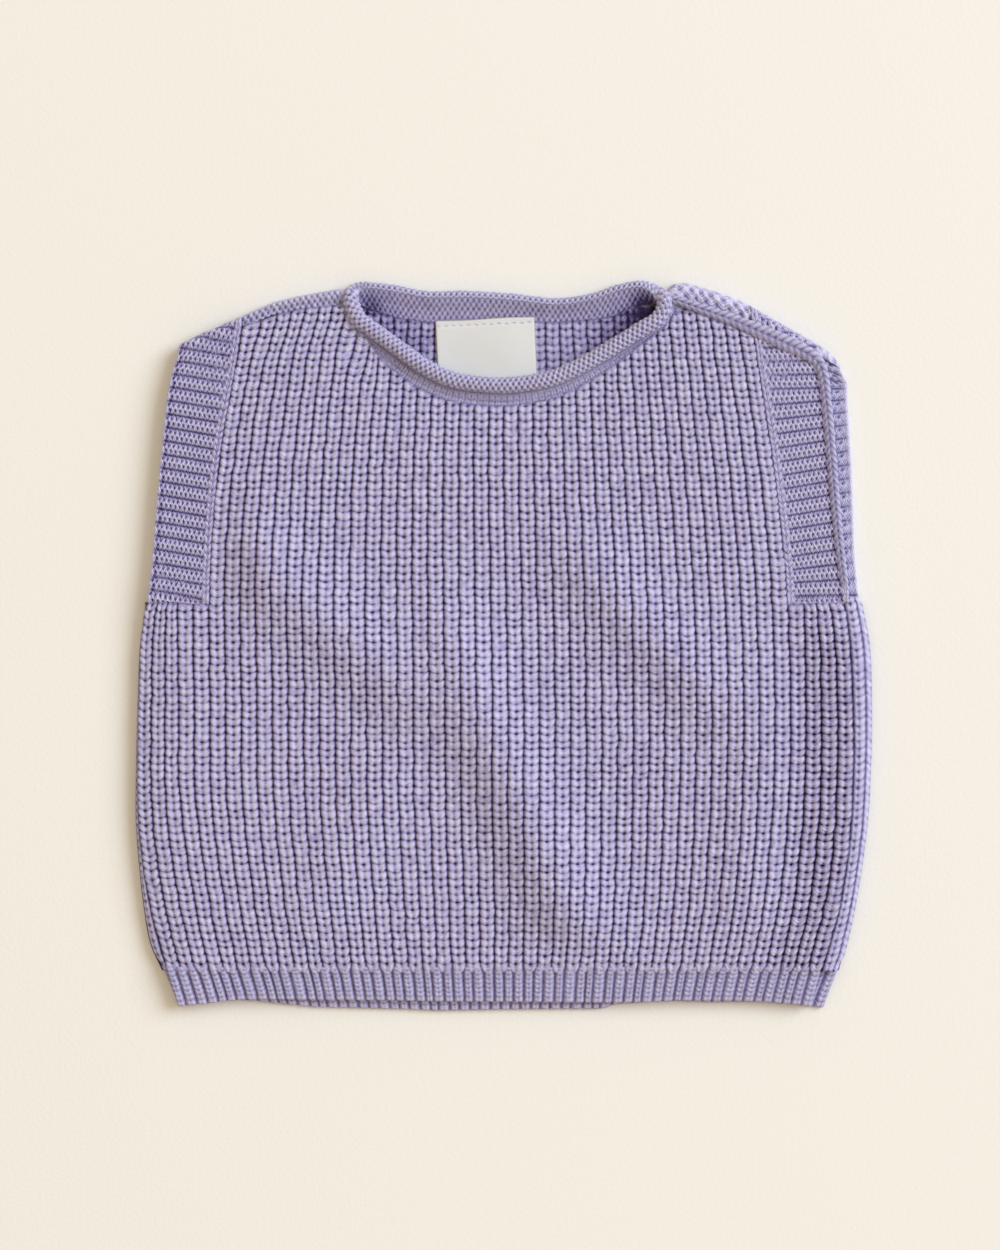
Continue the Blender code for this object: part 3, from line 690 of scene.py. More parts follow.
def under_place(column, row):
    rib, across = placed(column, UNDER_ACROSS)
    course, along = placed(row, UNDER_ALONG)
    off = np.abs(2.0 * across - 1.0)
    arch = np.sin(math.pi * along)
    count = rib + across
    level = HEM + COURSE * (course + along)
    level = level + LEG_LEAN * off * smooth((level - HEM) / 3.0)

    def edge_at(y):
        top = straight_read(BACK_TOP, rib_line(count, y, "left", "right"), "y") - 0.4
        return np.where(beside_armband(count), UNDERARM, top)

    y, edge = held_under(level, edge_at, level)
    x = rib_line(count, y, "left", "right")
    rim = np.minimum(x - rib_line(0, y, "left", "right"), rib_line(RIBS, y, "left", "right") - x)
    rim = np.where(y > UNDERARM, 9.0, rim)
    depth = UNDER_DEPTH * off**3 + 0.25 * (1.0 - arch) * (1.0 - 0.5 * off) * smooth(edge - y)
    round_up = 1.3 * (1.0 - smooth(np.minimum(rim, edge - y) / 3.0))
    x = x * (1.0 - 0.5 * (1.0 - smooth(rim / 3.0)) / 138.0)
    # the last number is painted shade, darker in the hollows between the ribs
    return x, y, depth + round_up, count, course + along, np.clip(depth / UNDER_DEPTH, 0.0, 1.0)


def under_keep(column, row):
    count = column / len(UNDER_ACROSS)
    return row < UNDERARM_COURSE * len(UNDER_ALONG) or LEFT_SEAM_RIB < count < RIGHT_SEAM_RIB


bm = new_sheet(RIBS * len(UNDER_ACROSS), (COURSES + 3) * len(UNDER_ALONG), under_place, under_keep)
back_area = flat_area(bm)
close_sheet(bm, UNDER_TOP)
back_rib = new_piece("back_rib", bm, RIB_WOOL, "back_panel")


def inner_place(column, row):
    count = INNER_RIBS * column
    level = HEM + INNER_COURSES * COURSE * row

    def edge_at(y):
        top = straight_read(BACK_TOP, rib_line(count, y), "y") - 1.5
        return np.where(beside_armband(count), UNDERARM, top)

    y = held_under(level, edge_at, level)[0]
    # the covered inner face gets an even painted half shade
    return rib_line(count, y), y, INNER_FACE, count, INNER_COURSES * row, 0.5


def inner_keep(column, row):
    count, course = INNER_RIBS * column, INNER_COURSES * row
    neck = NECK_FIRST_RIB < count < NECK_LAST_RIB and course > NECK_FIRST_COURSE
    return not neck and not (beside_armband(count) and course > UNDERARM_COURSE)


bm = new_sheet(RIBS // INNER_RIBS, INNER_ROWS, inner_place, inner_keep)
inner_area = flat_area(bm)
close_sheet(bm, UNDER_TOP)
back_inner = new_piece("back_inner_face", bm, RIB_WOOL, "back_panel")
knitted(back_inner, 281.0, 261.0, ["back_rib"], inner_area)

# %% [markdown]
# ## The inside of the back
# Through the neck one looks at the inside of the back, knitted in the same rib as the front. The grid of
# the back is too coarse to be seen from so near, and a finer one for all of it would waste triangles. So a
# patch of 24 ribs and 15 courses is made as fine as the front. Pockets of shade darken it at the two ends
# of the neck, where the roll hangs over it.

# %% Inside of the back, seen in the neck
NECK_COURSES = 15
NECK_POCKETS = table(
    "x y width deep",
    (-50.5, 129.0, 4.5, 0.45),
    (-44.0, 122.0, 7.0, 0.18),
    (-34.0, 114.0, 8.0, 0.15),
    (55.0, 128.5, 5.0, 0.95),
    (49.0, 123.0, 6.0, 0.4),
    (41.0, 117.0, 7.0, 0.25),
)


def neck_shade(x, y):
    """How much darker the wool is in the pockets at the neck's ends, where the roll hangs over it."""
    shade = 0.1
    for end_x, end_y, width, deep in zip(*NECK_POCKETS.values()):
        shade = shade + deep * spot(np.hypot(x - end_x, y - end_y), width)
    return shade


def inside_neck_place(column, row):
    rib, across = placed(column + NECK_FIRST_RIB * len(ACROSS), ACROSS)
    course, along = placed(row + NECK_FIRST_COURSE * len(ALONG), ALONG)
    depth, shift_x, shift_y = rib_stitch(rib, across, course, along)
    count = rib + across
    level = HEM + COURSE * (course + along) + shift_y

    def edge_at(y):
        return straight_read(BACK_TOP, rib_line(count, y), "y") - 0.2

    y, edge = held_under(level, edge_at, level)
    inside = smooth((edge - y) / END_ROUND)
    depth = mix(end_depth(across), depth, inside)
    x = rib_line(count, y) + shift_x * inside
    # painted shade: darker with depth, and in the pockets at the neck's ends
    painted_shade = np.clip(depth / RIB_DEPTH, 0.0, 1.0) ** 0.8 + neck_shade(x, y)
    return x, y, WALL + 0.25 - 0.53 * depth, count, course + along, np.clip(painted_shade, 0.0, 1.0)


neck_lines = (NECK_LAST_RIB - NECK_FIRST_RIB) * len(ACROSS)
bm = new_sheet(neck_lines, NECK_COURSES * len(ALONG), inside_neck_place)
inside_area = flat_area(bm)
close_sheet(bm, UNDER_TOP)
inside_neck = new_piece("back_inside_neck", bm, RIB_WOOL, "back_panel")
knitted(inside_neck, 132.0, 46.0, ["back_rib"], inside_area)

# %% [markdown]
# ## The side rims
# The back is a little wider than the front, so a strip of its ribs shows along each side: most of one rib
# on the left, and one and a half on the right. A plain tube along the edge would be quicker, but these ribs
# show their stitches right up to the outline. So the same rib stitch is laid over a rounded height, which
# comes up out of the hollow beside the front and turns down at the outline.

# %% Side rims of the back
RIM_RISE = 3.3
RIM_SLOPE = 0.62
RIM_CREST = 0.3
RIM_COURSES = UNDERARM_COURSE + 1
RIM_LEAN = 1.5
RIM_RELIEF = 1.5  # these ribs are stretched round the side, so the hollows between them are shallow
RIM_TAPER = 1.3  # the rim narrows by this much towards the hem, over the last 7 mm
FLOOR_GAP = 0.5  # the rims and strips keep this far above the floor
WALL_FOOT = 0.45  # and their walls end here


def rim_height(across, width):
    """Height of the back's rim from the outline (0) to the front's edge (1)."""
    rise = np.minimum(RIM_RISE, RIM_SLOPE * width)
    up = (WALL + rise) * np.sqrt(np.clip(1.0 - (1.0 - across) ** 8, 0.0, 1.0))
    down = WALL + rise * np.cos(math.pi / 2 * np.clip((across - RIM_CREST) / (1.0 - RIM_CREST), 0.0, 1.0))
    return np.where(across < RIM_CREST, up, down)


def side_rim(name, outline, edge_rib, ribs, top, end, roundness):
    """The back's ribs beside the front: they start in the hollow beside it and turn down at the outline."""

    def place(column, row):
        rib, across = placed(column, ACROSS)
        course, along = placed(row, ALONG)
        depth, shift_x, shift_y = rib_stitch(rib + 1, across, course, along, RIM_LEAN)
        level = HEM + COURSE * (course + along)
        y = np.minimum(level + shift_y * smooth((level - HEM) / 3.0), end)
        inside = smooth((end - y) / END_ROUND)
        out, edge = read(SIDES, y, outline) + 0.6, rib_line(edge_rib, y)
        out = out - 0.55 * np.sign(out) * np.maximum(y - UNDERARM, 0.0)
        out = out - RIM_TAPER * np.sign(out) * smooth((HEM + 7.0 - y) / 7.0)
        width = np.abs(edge - out)
        share = (rib + across) / ribs
        x = mix(edge - 0.5 * np.sign(out - edge), out, share) + shift_x * share * (1.0 - share) * inside
        gap = spot(share * ribs, 0.15)
        depth = np.minimum(depth, RIM_RELIEF) + 1.4 * gap
        low = 0.62 * depth * np.minimum(1.0, 0.25 + width / 7.0) * mix(0.5, 1.0, inside) + 1.6 * gap
        turned = np.sqrt(np.clip(1.0 - share**roundness, 0.0, 1.0))
        z = FLOOR_GAP + (top - FLOOR_GAP) * turned - low * mix(1.0, 0.7, share)
        # painted shade: darker with depth, darkest in the groove beside the front
        painted_shade = np.clip(depth / 1.8, 0.0, 1.0)
        return x, y, np.maximum(z, FLOOR_GAP), rib + across, course + along, painted_shade

    bm = new_sheet(round(ribs * len(ACROSS)), RIM_COURSES * len(ALONG), place)
    close_sheet(bm, WALL_FOOT)
    return new_piece(name, bm, RIB_WOOL, "back_panel")


back_edges = [
    side_rim("back_rim_left", "left", 0, 0.8, 5.6, UNDERARM + 0.9, 5.0),
    side_rim("back_rim_right", "right", RIBS, 1.5, 8.2, UNDERARM + 2.8, 2.6),
]

# %% [markdown]
# ## Small stitches
# The bands are knitted on a finer machine. Two surfaces cover them: purl stitches, which look like rows of
# small bumps laid like bricks, and plain stitches, which look like small Vs. They could be bump in a
# material alone, but the bands' edges would then be smooth. So both are heights from 0 to 1 over a place
# counted in stitches and rows, written once and used wherever the vest has them.

# %% Small stitches
def purl(stitches, rows):
    """Height of purl stitches: bumps laid like bricks, with small pits between them."""
    bump = 0.5 + 0.5 * np.cos(2.0 * math.pi * stitches) * np.cos(math.pi * rows)
    return 1.0 - (1.0 - bump) ** 1.7


def plain(stitches, rows):
    """Height of plain stitches: columns of small Vs."""
    side = stitches % 1.0
    off = np.abs(2.0 * side - 1.0)
    up = (rows - 0.6 * off) % 1.0
    return np.sin(math.pi * up) ** 0.6 * (1.0 - 0.6 * spot(side - 0.5, 0.12)) * (1.0 - off**5)


UNEVEN = chance.uniform(0.0, 1.0, (400, 24))


def uneven(stitches, rows):
    """A number from 0 to 1 for each bump of a purl surface, because no two stitches are the same size."""
    across, down = UNEVEN.shape
    return UNEVEN[np.round(2.0 * stitches).astype(int) % across, np.round(rows).astype(int) % down]


def ring(along, around, place):
    """A closed tube whose two ends meet."""
    bm = new_sheet(along, around, lambda column, row: place(column % along, row % around))
    bmesh.ops.remove_doubles(bm, verts=bm.verts, dist=1e-4)
    return bm


print("purl and plain stitches are written, with", UNEVEN.size, "sizes of bump")

# %% [markdown]
# ## The armbands
# Each armband is a flattened ring, knitted sideways: its ridges run across it. Between two ridges the cloth
# folds into a narrow dark line, and each ridge carries two rows of small holes. Along the body a column of
# longer, lighter stitches joins it, and the free rim curls into a soft roll. Two flat strips would do for a
# view from above, but they would gape at the shoulder and the underarm. So the rows go up the front half,
# round a fold, down the back half and round another fold.

# %% Rows of the armbands
LEFT_ARMBAND = table(
    "y front back slope",
    (15.3, -135.3, -134.6, 0.0),
    (30.0, -133.2, -132.5, -0.14),
    (45.0, -131.9, -131.2, -0.16),
    (68.0, -130.0, -129.3, -0.17),
    (90.0, -127.8, -127.1, -0.17),
    (104.0, -125.6, -124.9, -0.11),
    (112.0, -123.6, -122.9, 0.10),
    (121.0, -121.4, -120.7, 0.43),
)
RIGHT_ARMBAND = table(
    "y front back slope",
    (15.3, 132.6, 136.4, 0.0),
    (30.0, 130.2, 134.6, 0.14),
    (45.0, 128.7, 134.0, 0.16),
    (68.0, 126.4, 133.1, 0.17),
    (90.0, 124.6, 131.8, 0.12),
    (104.0, 122.4, 131.3, 0.0),
    (112.0, 121.6, 129.4, -0.30),
    (121.0, 120.6, 125.6, -0.57),
)
RIDGES = 18
RIDGE_PLACES = np.array([0.0, 0.07, 0.17, 0.29, 0.41, 0.51, 0.61, 0.72, 0.83, 0.93])
BACK_PLACES = np.array([0.0, 0.12, 0.32, 0.52, 0.72, 0.9])
ARMBAND_FOLD = SLIT / 2 + WALL
ARMBAND_SEAM = -0.45
LINK_HEIGHT = 2.7  # height of a stitch of the column along the body, and of the chain
LINK_WIDTH = 2.4
ARMBAND_MIDDLE = 60.0
ARMBAND_CORNER = 1.3
CORNER_SHARPNESS = 12
FOLD_ROWS = 24
FOLD_SQUARENESS = 0.6
HOLES_ACROSS = 12
HOLE_DEPTH = 1.5
HOLE_ROWS = (0.36, 0.68)
VALLEY_WAVE = 0.04
CORD_WIDTH = 3.3
RIDGE_DEPTH = 1.5
OUTER_COLUMNS = 4 * HOLES_ACROSS
ROUND_COLUMNS = 8
INNER_COLUMNS = 24
ROUND_START = 0.955

outer_places = [(ROUND_START * i / OUTER_COLUMNS, 1.0) for i in range(OUTER_COLUMNS)]
round_turns = [math.pi * i / ROUND_COLUMNS for i in range(ROUND_COLUMNS)]
round_places = [
    (ROUND_START + (1 - ROUND_START) * math.sin(turn), 0.5 + 0.5 * math.cos(turn)) for turn in round_turns
]
inner_places = [(ROUND_START * (1 - i / INNER_COLUMNS), 0.0) for i in range(INNER_COLUMNS + 1)]
ARMBAND_SECTION = np.array(outer_places + round_places + inner_places)
FRONT_ROWS = RIDGES * len(RIDGE_PLACES)
BACK_ROWS = RIDGES * len(BACK_PLACES)
ARMBAND_ROWS = FRONT_ROWS + BACK_ROWS + 2 * FOLD_ROWS


def armband_rows():
    """For each row round the ring: height (0 to 1), turn round the fold, and place counted in ridges."""
    steps = np.arange(FOLD_ROWS) / FOLD_ROWS
    made = [((ridge + q) / RIDGES, 0.0, ridge + q) for ridge in range(RIDGES) for q in RIDGE_PLACES]
    made += [(1.0, math.pi * t, RIDGES + 2.0 * t) for t in steps]
    backward = [(ridge + q) for ridge in range(RIDGES) for q in BACK_PLACES]
    made += [(1.0 - count / RIDGES, math.pi, RIDGES - count) for count in backward]
    made += [(0.0, math.pi + math.pi * t, 2.0 * (t - 1.0)) for t in steps]
    return np.array(made)


ARMBAND_STEPS = armband_rows()
print("an armband has", ARMBAND_ROWS, "rows round its ring and", len(ARMBAND_SECTION), "points in a row")

# %% Armbands
def armband(name, node, rows, seam_rib, sign, rim_width, slant):
    """One armband: sign is -1 for the left one and 1 for the right one."""
    middle = 0.5 * (rib_line(seam_rib, ARMBAND_MIDDLE) + read(rows, ARMBAND_MIDDLE, "front"))
    top_seam = rib_line(seam_rib, SHOULDER)
    low = UNDERARM - 0.5 + ARMBAND_FOLD
    high = straight_read(BACK_TOP, top_seam, "y") - ARMBAND_FOLD + rows["slope"][-1] * (middle - top_seam)

    def place(step, corner):
        height, turn, ridge = ARMBAND_STEPS[step.astype(int)].T
        across, level = ARMBAND_SECTION[corner.astype(int)].T
        y = mix(low, high, height)
        slope = read(rows, mix(UNDERARM, rows["y"][-1], height), "slope")
        seam = rib_line(seam_rib, y + slope * (rib_line(seam_rib, y) - middle)) + sign * ARMBAND_SEAM
        back = 0.5 - 0.5 * np.cos(turn)
        edge = mix(read(rows, y, "front"), read(rows, y, "back"), back)
        width = np.abs(edge - seam)
        out = across * width
        # the ridges keep their slant up to the shoulder, whose edge cuts across them
        kept = np.maximum(slope * sign, slant) * sign
        lean = (slope - kept) * (mix(seam, edge, across) - middle) * RIDGES / (high - low)
        ridge = ridge + lean * (np.cos(turn) > -0.5)
        part = (ridge + VALLEY_WAVE * np.sin(2.0 * math.pi * HOLES_ACROSS * across / ROUND_START)) % 1.0
        swing = np.sin(math.pi * part)
        edge = edge + sign * 0.30 * (swing**0.5 - 0.6) * spot(1.0 - across, 0.15)
        x = mix(seam, edge, across)
        corner_drop = mix(ARMBAND_CORNER, 0.8 if sign > 0 else ARMBAND_CORNER, back)
        y = y + slope * (x - middle) - corner_drop * (height * across) ** CORNER_SHARPNESS
        cord = smooth((CORD_WIDTH - out) / 0.8)
        rim = smooth((out - width + rim_width) / 1.0)
        valley = RIDGE_DEPTH * (1.0 - swing**0.55)
        hole = 0.0
        for row, middle_part in enumerate(HOLE_ROWS):
            above = part - middle_part
            beside = (across / ROUND_START * HOLES_ACROSS + 0.5 * row + 0.5 * above) % 1.0 - 0.5
            hole = hole + HOLE_DEPTH * spot(beside, 0.25) * spot(above, 0.12)
        depth = (valley + hole) * (1.0 - np.maximum(cord, rim))
        links = plain(np.clip(out / CORD_WIDTH, 0.0, 1.0), y / LINK_HEIGHT + 0.25 * np.sin(y / 4.1))
        depth = depth + cord * 0.95 * (1.0 - links) + rim * (1.0 - cord) * 0.6 * (1.0 - swing**0.5)
        curl = plain(0.5 + (width - out) / 2.6, y / LINK_HEIGHT)
        depth = depth + rim * (1.0 - cord) * 0.4 * (1.0 - curl)
        depth = depth + 0.25 * smooth(1.0 - out / 0.8)
        on_fold = np.sin(turn) ** 2
        depth = mix(depth, 0.9 * (1.0 - purl(out / 2.8, ridge * 2.0)), on_fold if sign > 0 else 0.0)
        facing = 2.0 * level - 1.0
        radius = SLIT / 2 + level * WALL - depth * facing * (np.abs(facing) > 0.99)
        rise = np.sign(np.cos(turn)) * np.abs(np.cos(turn)) ** FOLD_SQUARENESS
        reach = np.sign(np.sin(turn)) * np.abs(np.sin(turn)) ** FOLD_SQUARENESS
        z = SLIT_MIDDLE + radius * rise
        # painted shade along the inner side of the curled rim, on the front half
        rim_side_shade = 0.3 * spot(out - width + rim_width + 0.3, 0.6) * (np.cos(turn) > 0.0)
        # painted light: the right armband's hollows are drawn lighter, and so are those of the half that lies
        # underneath
        shade = (0.87 if sign > 0 else 1.0) * mix(1.0, 0.72, back)
        painted_shade = np.clip(shade * ((depth - 0.2) / 1.15 + 0.12 * cord) + rim_side_shade, 0.0, 1.0)
        return x, y + radius * reach, np.maximum(z, 0.0), out / LINK_WIDTH, 1.5 * ridge, painted_shade

    bm = ring(ARMBAND_ROWS, len(ARMBAND_SECTION), place)
    piece = new_piece(name, bm, BAND_WOOL, node)
    knitted(piece, 27.0, 215.0, ["back_rib"])


armband("armband_knit_left", "armband_left", LEFT_ARMBAND, LEFT_SEAM_RIB, -1, 1.3, 0.17)
armband("armband_knit_right", "armband_right", RIGHT_ARMBAND, RIGHT_SEAM_RIB, 1, 3.0, 0.02)

# %% [markdown]
# ## The neckband
# The neckband is a ring of plain knitting whose free edge is left to curl, as plain knitting does, with its
# purl side out. In front the roll sits on a narrow flat base with small Vs; at the back the whole band is
# seen from its inside, all in purl. A tube along a curve would look the same all round. So the ring has a
# section of its own, a roll and a base, which turns over as it goes round, from facing up in front to
# facing down behind.

# %% Length of the neckband
NECK = table("x y z seam_x seam_y seam_z turn", *FRONT_NECK, *BACK_NECK)
ROLL_RADIUS = 3.0
ROLL_RELIEF = 1.0
BAND_WALL = 2.2
NECK_SEAM = -0.7
NECK_STITCHES = 124
STITCH_STEPS = 6
ROLL_ROWS = 8
ROW_STEPS = 5
ROLL_START, ROLL_END = math.radians(-17), math.radians(270)
BAND_STEPS = 14


def neck_columns(place):
    """The columns of the neckband's table at places counted in rows, on a smooth closed curve."""
    rows = len(NECK["x"])
    i = np.floor(place).astype(int)
    t = place - i
    found = []
    for name, column in NECK.items():
        full_turn = 360.0 if name == "turn" else 0.0
        a, b, c, d = (column[(i + k) % rows] + full_turn * ((i + k) // rows) for k in (-1, 0, 1, 2))
        found.append(curve(t, a, b, c, d))
    return found


even = np.linspace(0.0, len(NECK["x"]), 2001)
neck_x, neck_y = neck_columns(even)[:2]
travelled = travelled_along(neck_x, neck_y)
NECK_LENGTH = travelled[-1]
print("the neckband's roll is", round(NECK_LENGTH), "mm round")

# %% Neckband
NECK_STEPS = NECK_STITCHES * STITCH_STEPS
ROLL_STEPS = ROLL_ROWS * ROW_STEPS
AROUND = ROLL_STEPS + 2 * BAND_STEPS


def neckband_place(step, corner):
    """A point of the ring: step goes round the neck, and corner round the section, roll first, then base."""
    place = np.interp(step / NECK_STEPS * NECK_LENGTH, travelled, even)
    x, y, z, seam_x, seam_y, seam_z, turn = neck_columns(place)
    reach = np.hypot(seam_x - x, seam_y - y)
    out_x, out_y = (seam_x - x) / reach, (seam_y - y) / reach
    level, upright = np.sin(np.radians(turn)), np.cos(np.radians(turn))
    stitches = step / STITCH_STEPS
    rows = corner / ROW_STEPS
    on_roll = corner < ROLL_STEPS
    bumps = purl(stitches, rows)
    angle = mix(ROLL_START, ROLL_END, corner / ROLL_STEPS)
    radius = ROLL_RADIUS + CREST - ROLL_RELIEF * (1.0 - bumps) + 0.3 * uneven(stitches, rows) * bumps**2
    roll_off, roll_up = radius * np.cos(angle), radius * np.sin(angle)
    # the flat base: along its underside to the seam, then back along its upper side
    band = (corner - ROLL_STEPS) / BAND_STEPS
    upper = band > 1.0
    share = np.where(upper, 2.0 - band, band)
    near = np.where(upper, ROLL_RADIUS * math.cos(ROLL_START), ROLL_RADIUS * math.cos(ROLL_END))
    band_off = mix(near, reach - NECK_SEAM, share)
    small = np.where(upper, plain(stitches, band_off / 1.9), purl(stitches, (band_off + 4.0) / 1.6))
    low = mix(0.7, 0.85, upper) * (1.0 - small) * smooth(6.0 * (1.0 - share) + 0.2)
    side = np.where(upper, 1.0, -1.0)
    roll_side = np.where(upper, math.sin(ROLL_START), math.sin(ROLL_END)) * ROLL_RADIUS
    flat_share = np.where(upper, smooth(3.0 * share), share)
    band_up = mix(roll_side, side * BAND_WALL / 2, flat_share) - side * low
    off = np.where(on_roll, roll_off, band_off)
    up = np.where(on_roll, roll_up, band_up)
    middle = np.where(on_roll, z, mix(z, seam_z, smooth(2.0 * share)))
    # painted shade: darker between the roll's bumps and in the pits of the base, and in the pockets at the
    # neck's ends
    painted_shade = np.where(on_roll, 0.83 * (1.0 - bumps) ** 1.3, np.where(upper, 0.36, 0.72) * (1.0 - small))
    painted_shade = painted_shade + np.where(on_roll, 0.0, neck_shade(x + out_x * off, y + out_y * off))
    return (
        x + out_x * off - out_y * up * level,
        y + out_y * off + out_x * up * level,
        np.maximum(middle + up * upright, 0.05),
        stitches,
        np.where(on_roll, rows, band_off / 1.6),
        np.clip(painted_shade, 0.0, 1.0),
    )


bm = ring(NECK_STEPS, AROUND, neckband_place)
neckband = new_piece("neckband_knit", bm, BAND_WOOL, "neckband")
knitted(neckband, 18.0, 280.0, ["front_rib_left", "front_rib_right", "back_rib"])

# %% [markdown]
# ## The welts
# The hem ends in a narrow rib knitted on a finer gauge, so its ribs don't line up with the body's. The
# hollows between them are widest at the top, where the chunky ribs run into them, and the cast-off edge is
# bumpy. The body's stitch could be used again, but its hollows are as wide at one end of a rib as at the
# other. So the welt has a formula of its own, which makes the front one and, lower and a little longer, the
# back one.

# %% Welts
WELT_ENDS = table(
    "x front back",
    (-124.0, -137.5, -137.6),
    (-112.5, -136.4, -136.8),
    (-106.5, -135.5, -135.8),
    (-100.0, -134.9, -135.4),
    (-93.0, -134.7, -135.9),
    (-83.6, -134.8, -136.9),
    (-72.0, -134.9, -138.0),
    (-38.8, -135.2, -138.8),
    (-25.0, -135.5, -139.4),
    (7.6, -135.7, -138.9),
    (38.0, -136.0, -138.7),
    (43.5, -136.0, -137.0),
    (55.0, -135.8, -136.3),
    (66.6, -135.2, -135.8),
    (80.0, -135.3, -136.3),
    (95.5, -135.5, -136.1),
    (107.5, -136.3, -136.9),
    (122.4, -137.9, -138.2),
)
WELT_RIBS = 64
WELT_WALL = 3.1
FRONT_WELT_BASE = 3.7
WELT_COURSES = 8
WELT_ACROSS = np.array([0.0, 0.10, 0.24, 0.40, 0.5, 0.60, 0.76, 0.90])
WELT_ALONG = np.array([0.0, 0.22, 0.5, 0.78])
WELT_DEPTH = 1.8
WELT_RIB_SHARE = 0.85  # a rib's share of its pitch; the rest is the hollow beside it
WELT_FLAT = (262.0, 16.5)
FRONT_WELT_SIDES = ((-128.2, 121.8), (-123.4, 117.6))
BACK_WELT_SIDES = ((-130.0, 128.8), (-123.7, 122.6))


def welt(name, node, sides, edge, top, base):
    """One welt: sides has its upper and its lower corners, and edge names the column of its lower edge."""
    (top_left, top_right), (low_left, low_right) = sides
    shifts = np.random.default_rng(5).normal(0.0, 0.10, WELT_RIBS + 2)

    def place(column, row):
        rib, part = placed(column, WELT_ACROSS)
        course, along = placed(row, WELT_ALONG)
        up = (course + along) / WELT_COURSES
        count = rib + part + shifts[rib] * (1.0 - part) + shifts[rib + 1] * part
        share = np.clip(count / WELT_RIBS, 0.0, 1.0)
        x = mix(mix(low_left, low_right, share), mix(top_left, top_right, share), up)
        off = np.abs(2.0 * part - 1.0)
        arch = np.sin(math.pi * along)
        open_top = 1.0 - 0.5 * smooth((up - 0.5) / 0.5)
        envelope = (1.0 - np.minimum(off / WELT_RIB_SHARE, 1.0) ** (3.2 * open_top)) ** 0.7
        lowest = straight_read(WELT_ENDS, x, edge) - 0.3 * envelope + 0.12
        lift = 0.95 * off * smooth(6.0 * up) * smooth(6.0 * (1.0 - up))
        y = mix(lowest, HEM + 1.7, up) + lift
        legs = 0.6 * (1.0 - arch**0.5) + 0.95 * spot(part - 0.5, 0.10) * (1.0 - 0.6 * arch)
        depth = WELT_DEPTH * (1.0 - envelope) + envelope**0.5 * legs
        rim = (1.0 - smooth(up / 0.16)) * 0.9 - 0.9 * smooth((up - 0.55) / 0.45)
        z = top - depth * (1.0 - 0.3 * (1.0 - smooth(up / 0.2))) - rim
        # the last number is painted shade, darker with depth
        return x, y, z, rib + part, course + along, np.clip(depth / 2.9, 0.0, 1.0)

    bm = new_sheet(WELT_RIBS * len(WELT_ACROSS), WELT_COURSES * len(WELT_ALONG), place)
    area = flat_area(bm)
    close_sheet(bm, base)
    piece = new_piece(name, bm, WELT_WOOL, node)
    print("  flat area", round(area / 100, 1), "square centimetres")
    knitted(piece, *WELT_FLAT, ["back_rib"], min(area, math.prod(WELT_FLAT)))


front_top = FRONT_WELT_BASE + WELT_WALL
welt("front_welt_knit", "front_welt", FRONT_WELT_SIDES, "front", front_top, FRONT_WELT_BASE)
welt("back_welt_knit", "back_welt", BACK_WELT_SIDES, "back", FRONT_WELT_BASE - 0.3, 0.0)

# %% [markdown]
# ## Shoulders
# At the left shoulder a strip of small stitches lies over the rib ends. At the right one the back's ribs
# end in thick knots. The rib could run on to the outline, but neither shoulder looks like that. So each has
# a narrow grid between the front's top edge and the outline, covered with purl stitches of its own size.

# %% Shoulder strips
LANE_ROWS = 16


def lane(name, first, last, texture, steps):
    """A strip of the back that shows between the front's top edge and the vest's outline."""

    def place(column, row):
        x = mix(first, last, column / steps)
        outline = straight_read(BACK_TOP, x, "y")
        inner = straight_read(FRONT_TOP, x, "y") - 0.4
        across = row / LANE_ROWS
        y = mix(outline, inner, across)
        width = np.maximum(outline - inner, 0.5)
        height, stitches, rows = texture(x, across, width)
        depth = 0.95 * (1.0 - height) - 0.5 * (uneven(stitches, rows) - 0.3) * height
        z = rim_height(np.minimum(across, 0.72), width) - depth * smooth(6.0 * across)
        # the last number is painted shade, darker with depth
        return x, y, np.maximum(z, FLOOR_GAP), stitches, rows, np.clip(0.65 * depth, 0.0, 1.0)

    bm = new_sheet(steps, LANE_ROWS, place)
    close_sheet(bm, WALL_FOOT)
    return new_piece(name, bm, BAND_WOOL, "back_panel")


def small_rows(x, across, width):
    stitches, rows = x / 2.2, across * width / 1.7
    return purl(stitches, rows), stitches, rows


def knots(x, across, width):
    stitches, rows = x / 4.2 + 0.12 * np.sin(x / 3.0), across * width / 2.7
    return purl(stitches, rows), stitches, rows


back_edges += [
    lane("left_shoulder_strip", -101.2, -58.4, small_rows, 160),
    lane("right_shoulder_knots", 63.2, 98.4, knots, 130),
]
knitted(back_rib, 281.0, 261.0, [], back_area, back_edges)

# %% [markdown]
# ## The chain
# At the right shoulder the front is joined by a chain of V stitches, which runs on down the armband's rim.
# It could be relief on the pieces it crosses, but it runs at a slant to all their grids. So it is a tube of
# its own along a curve. It swells at each link, and a crease parts the link's two legs. It is sunk into the
# band, as linked stitches are, and only its top stands out.

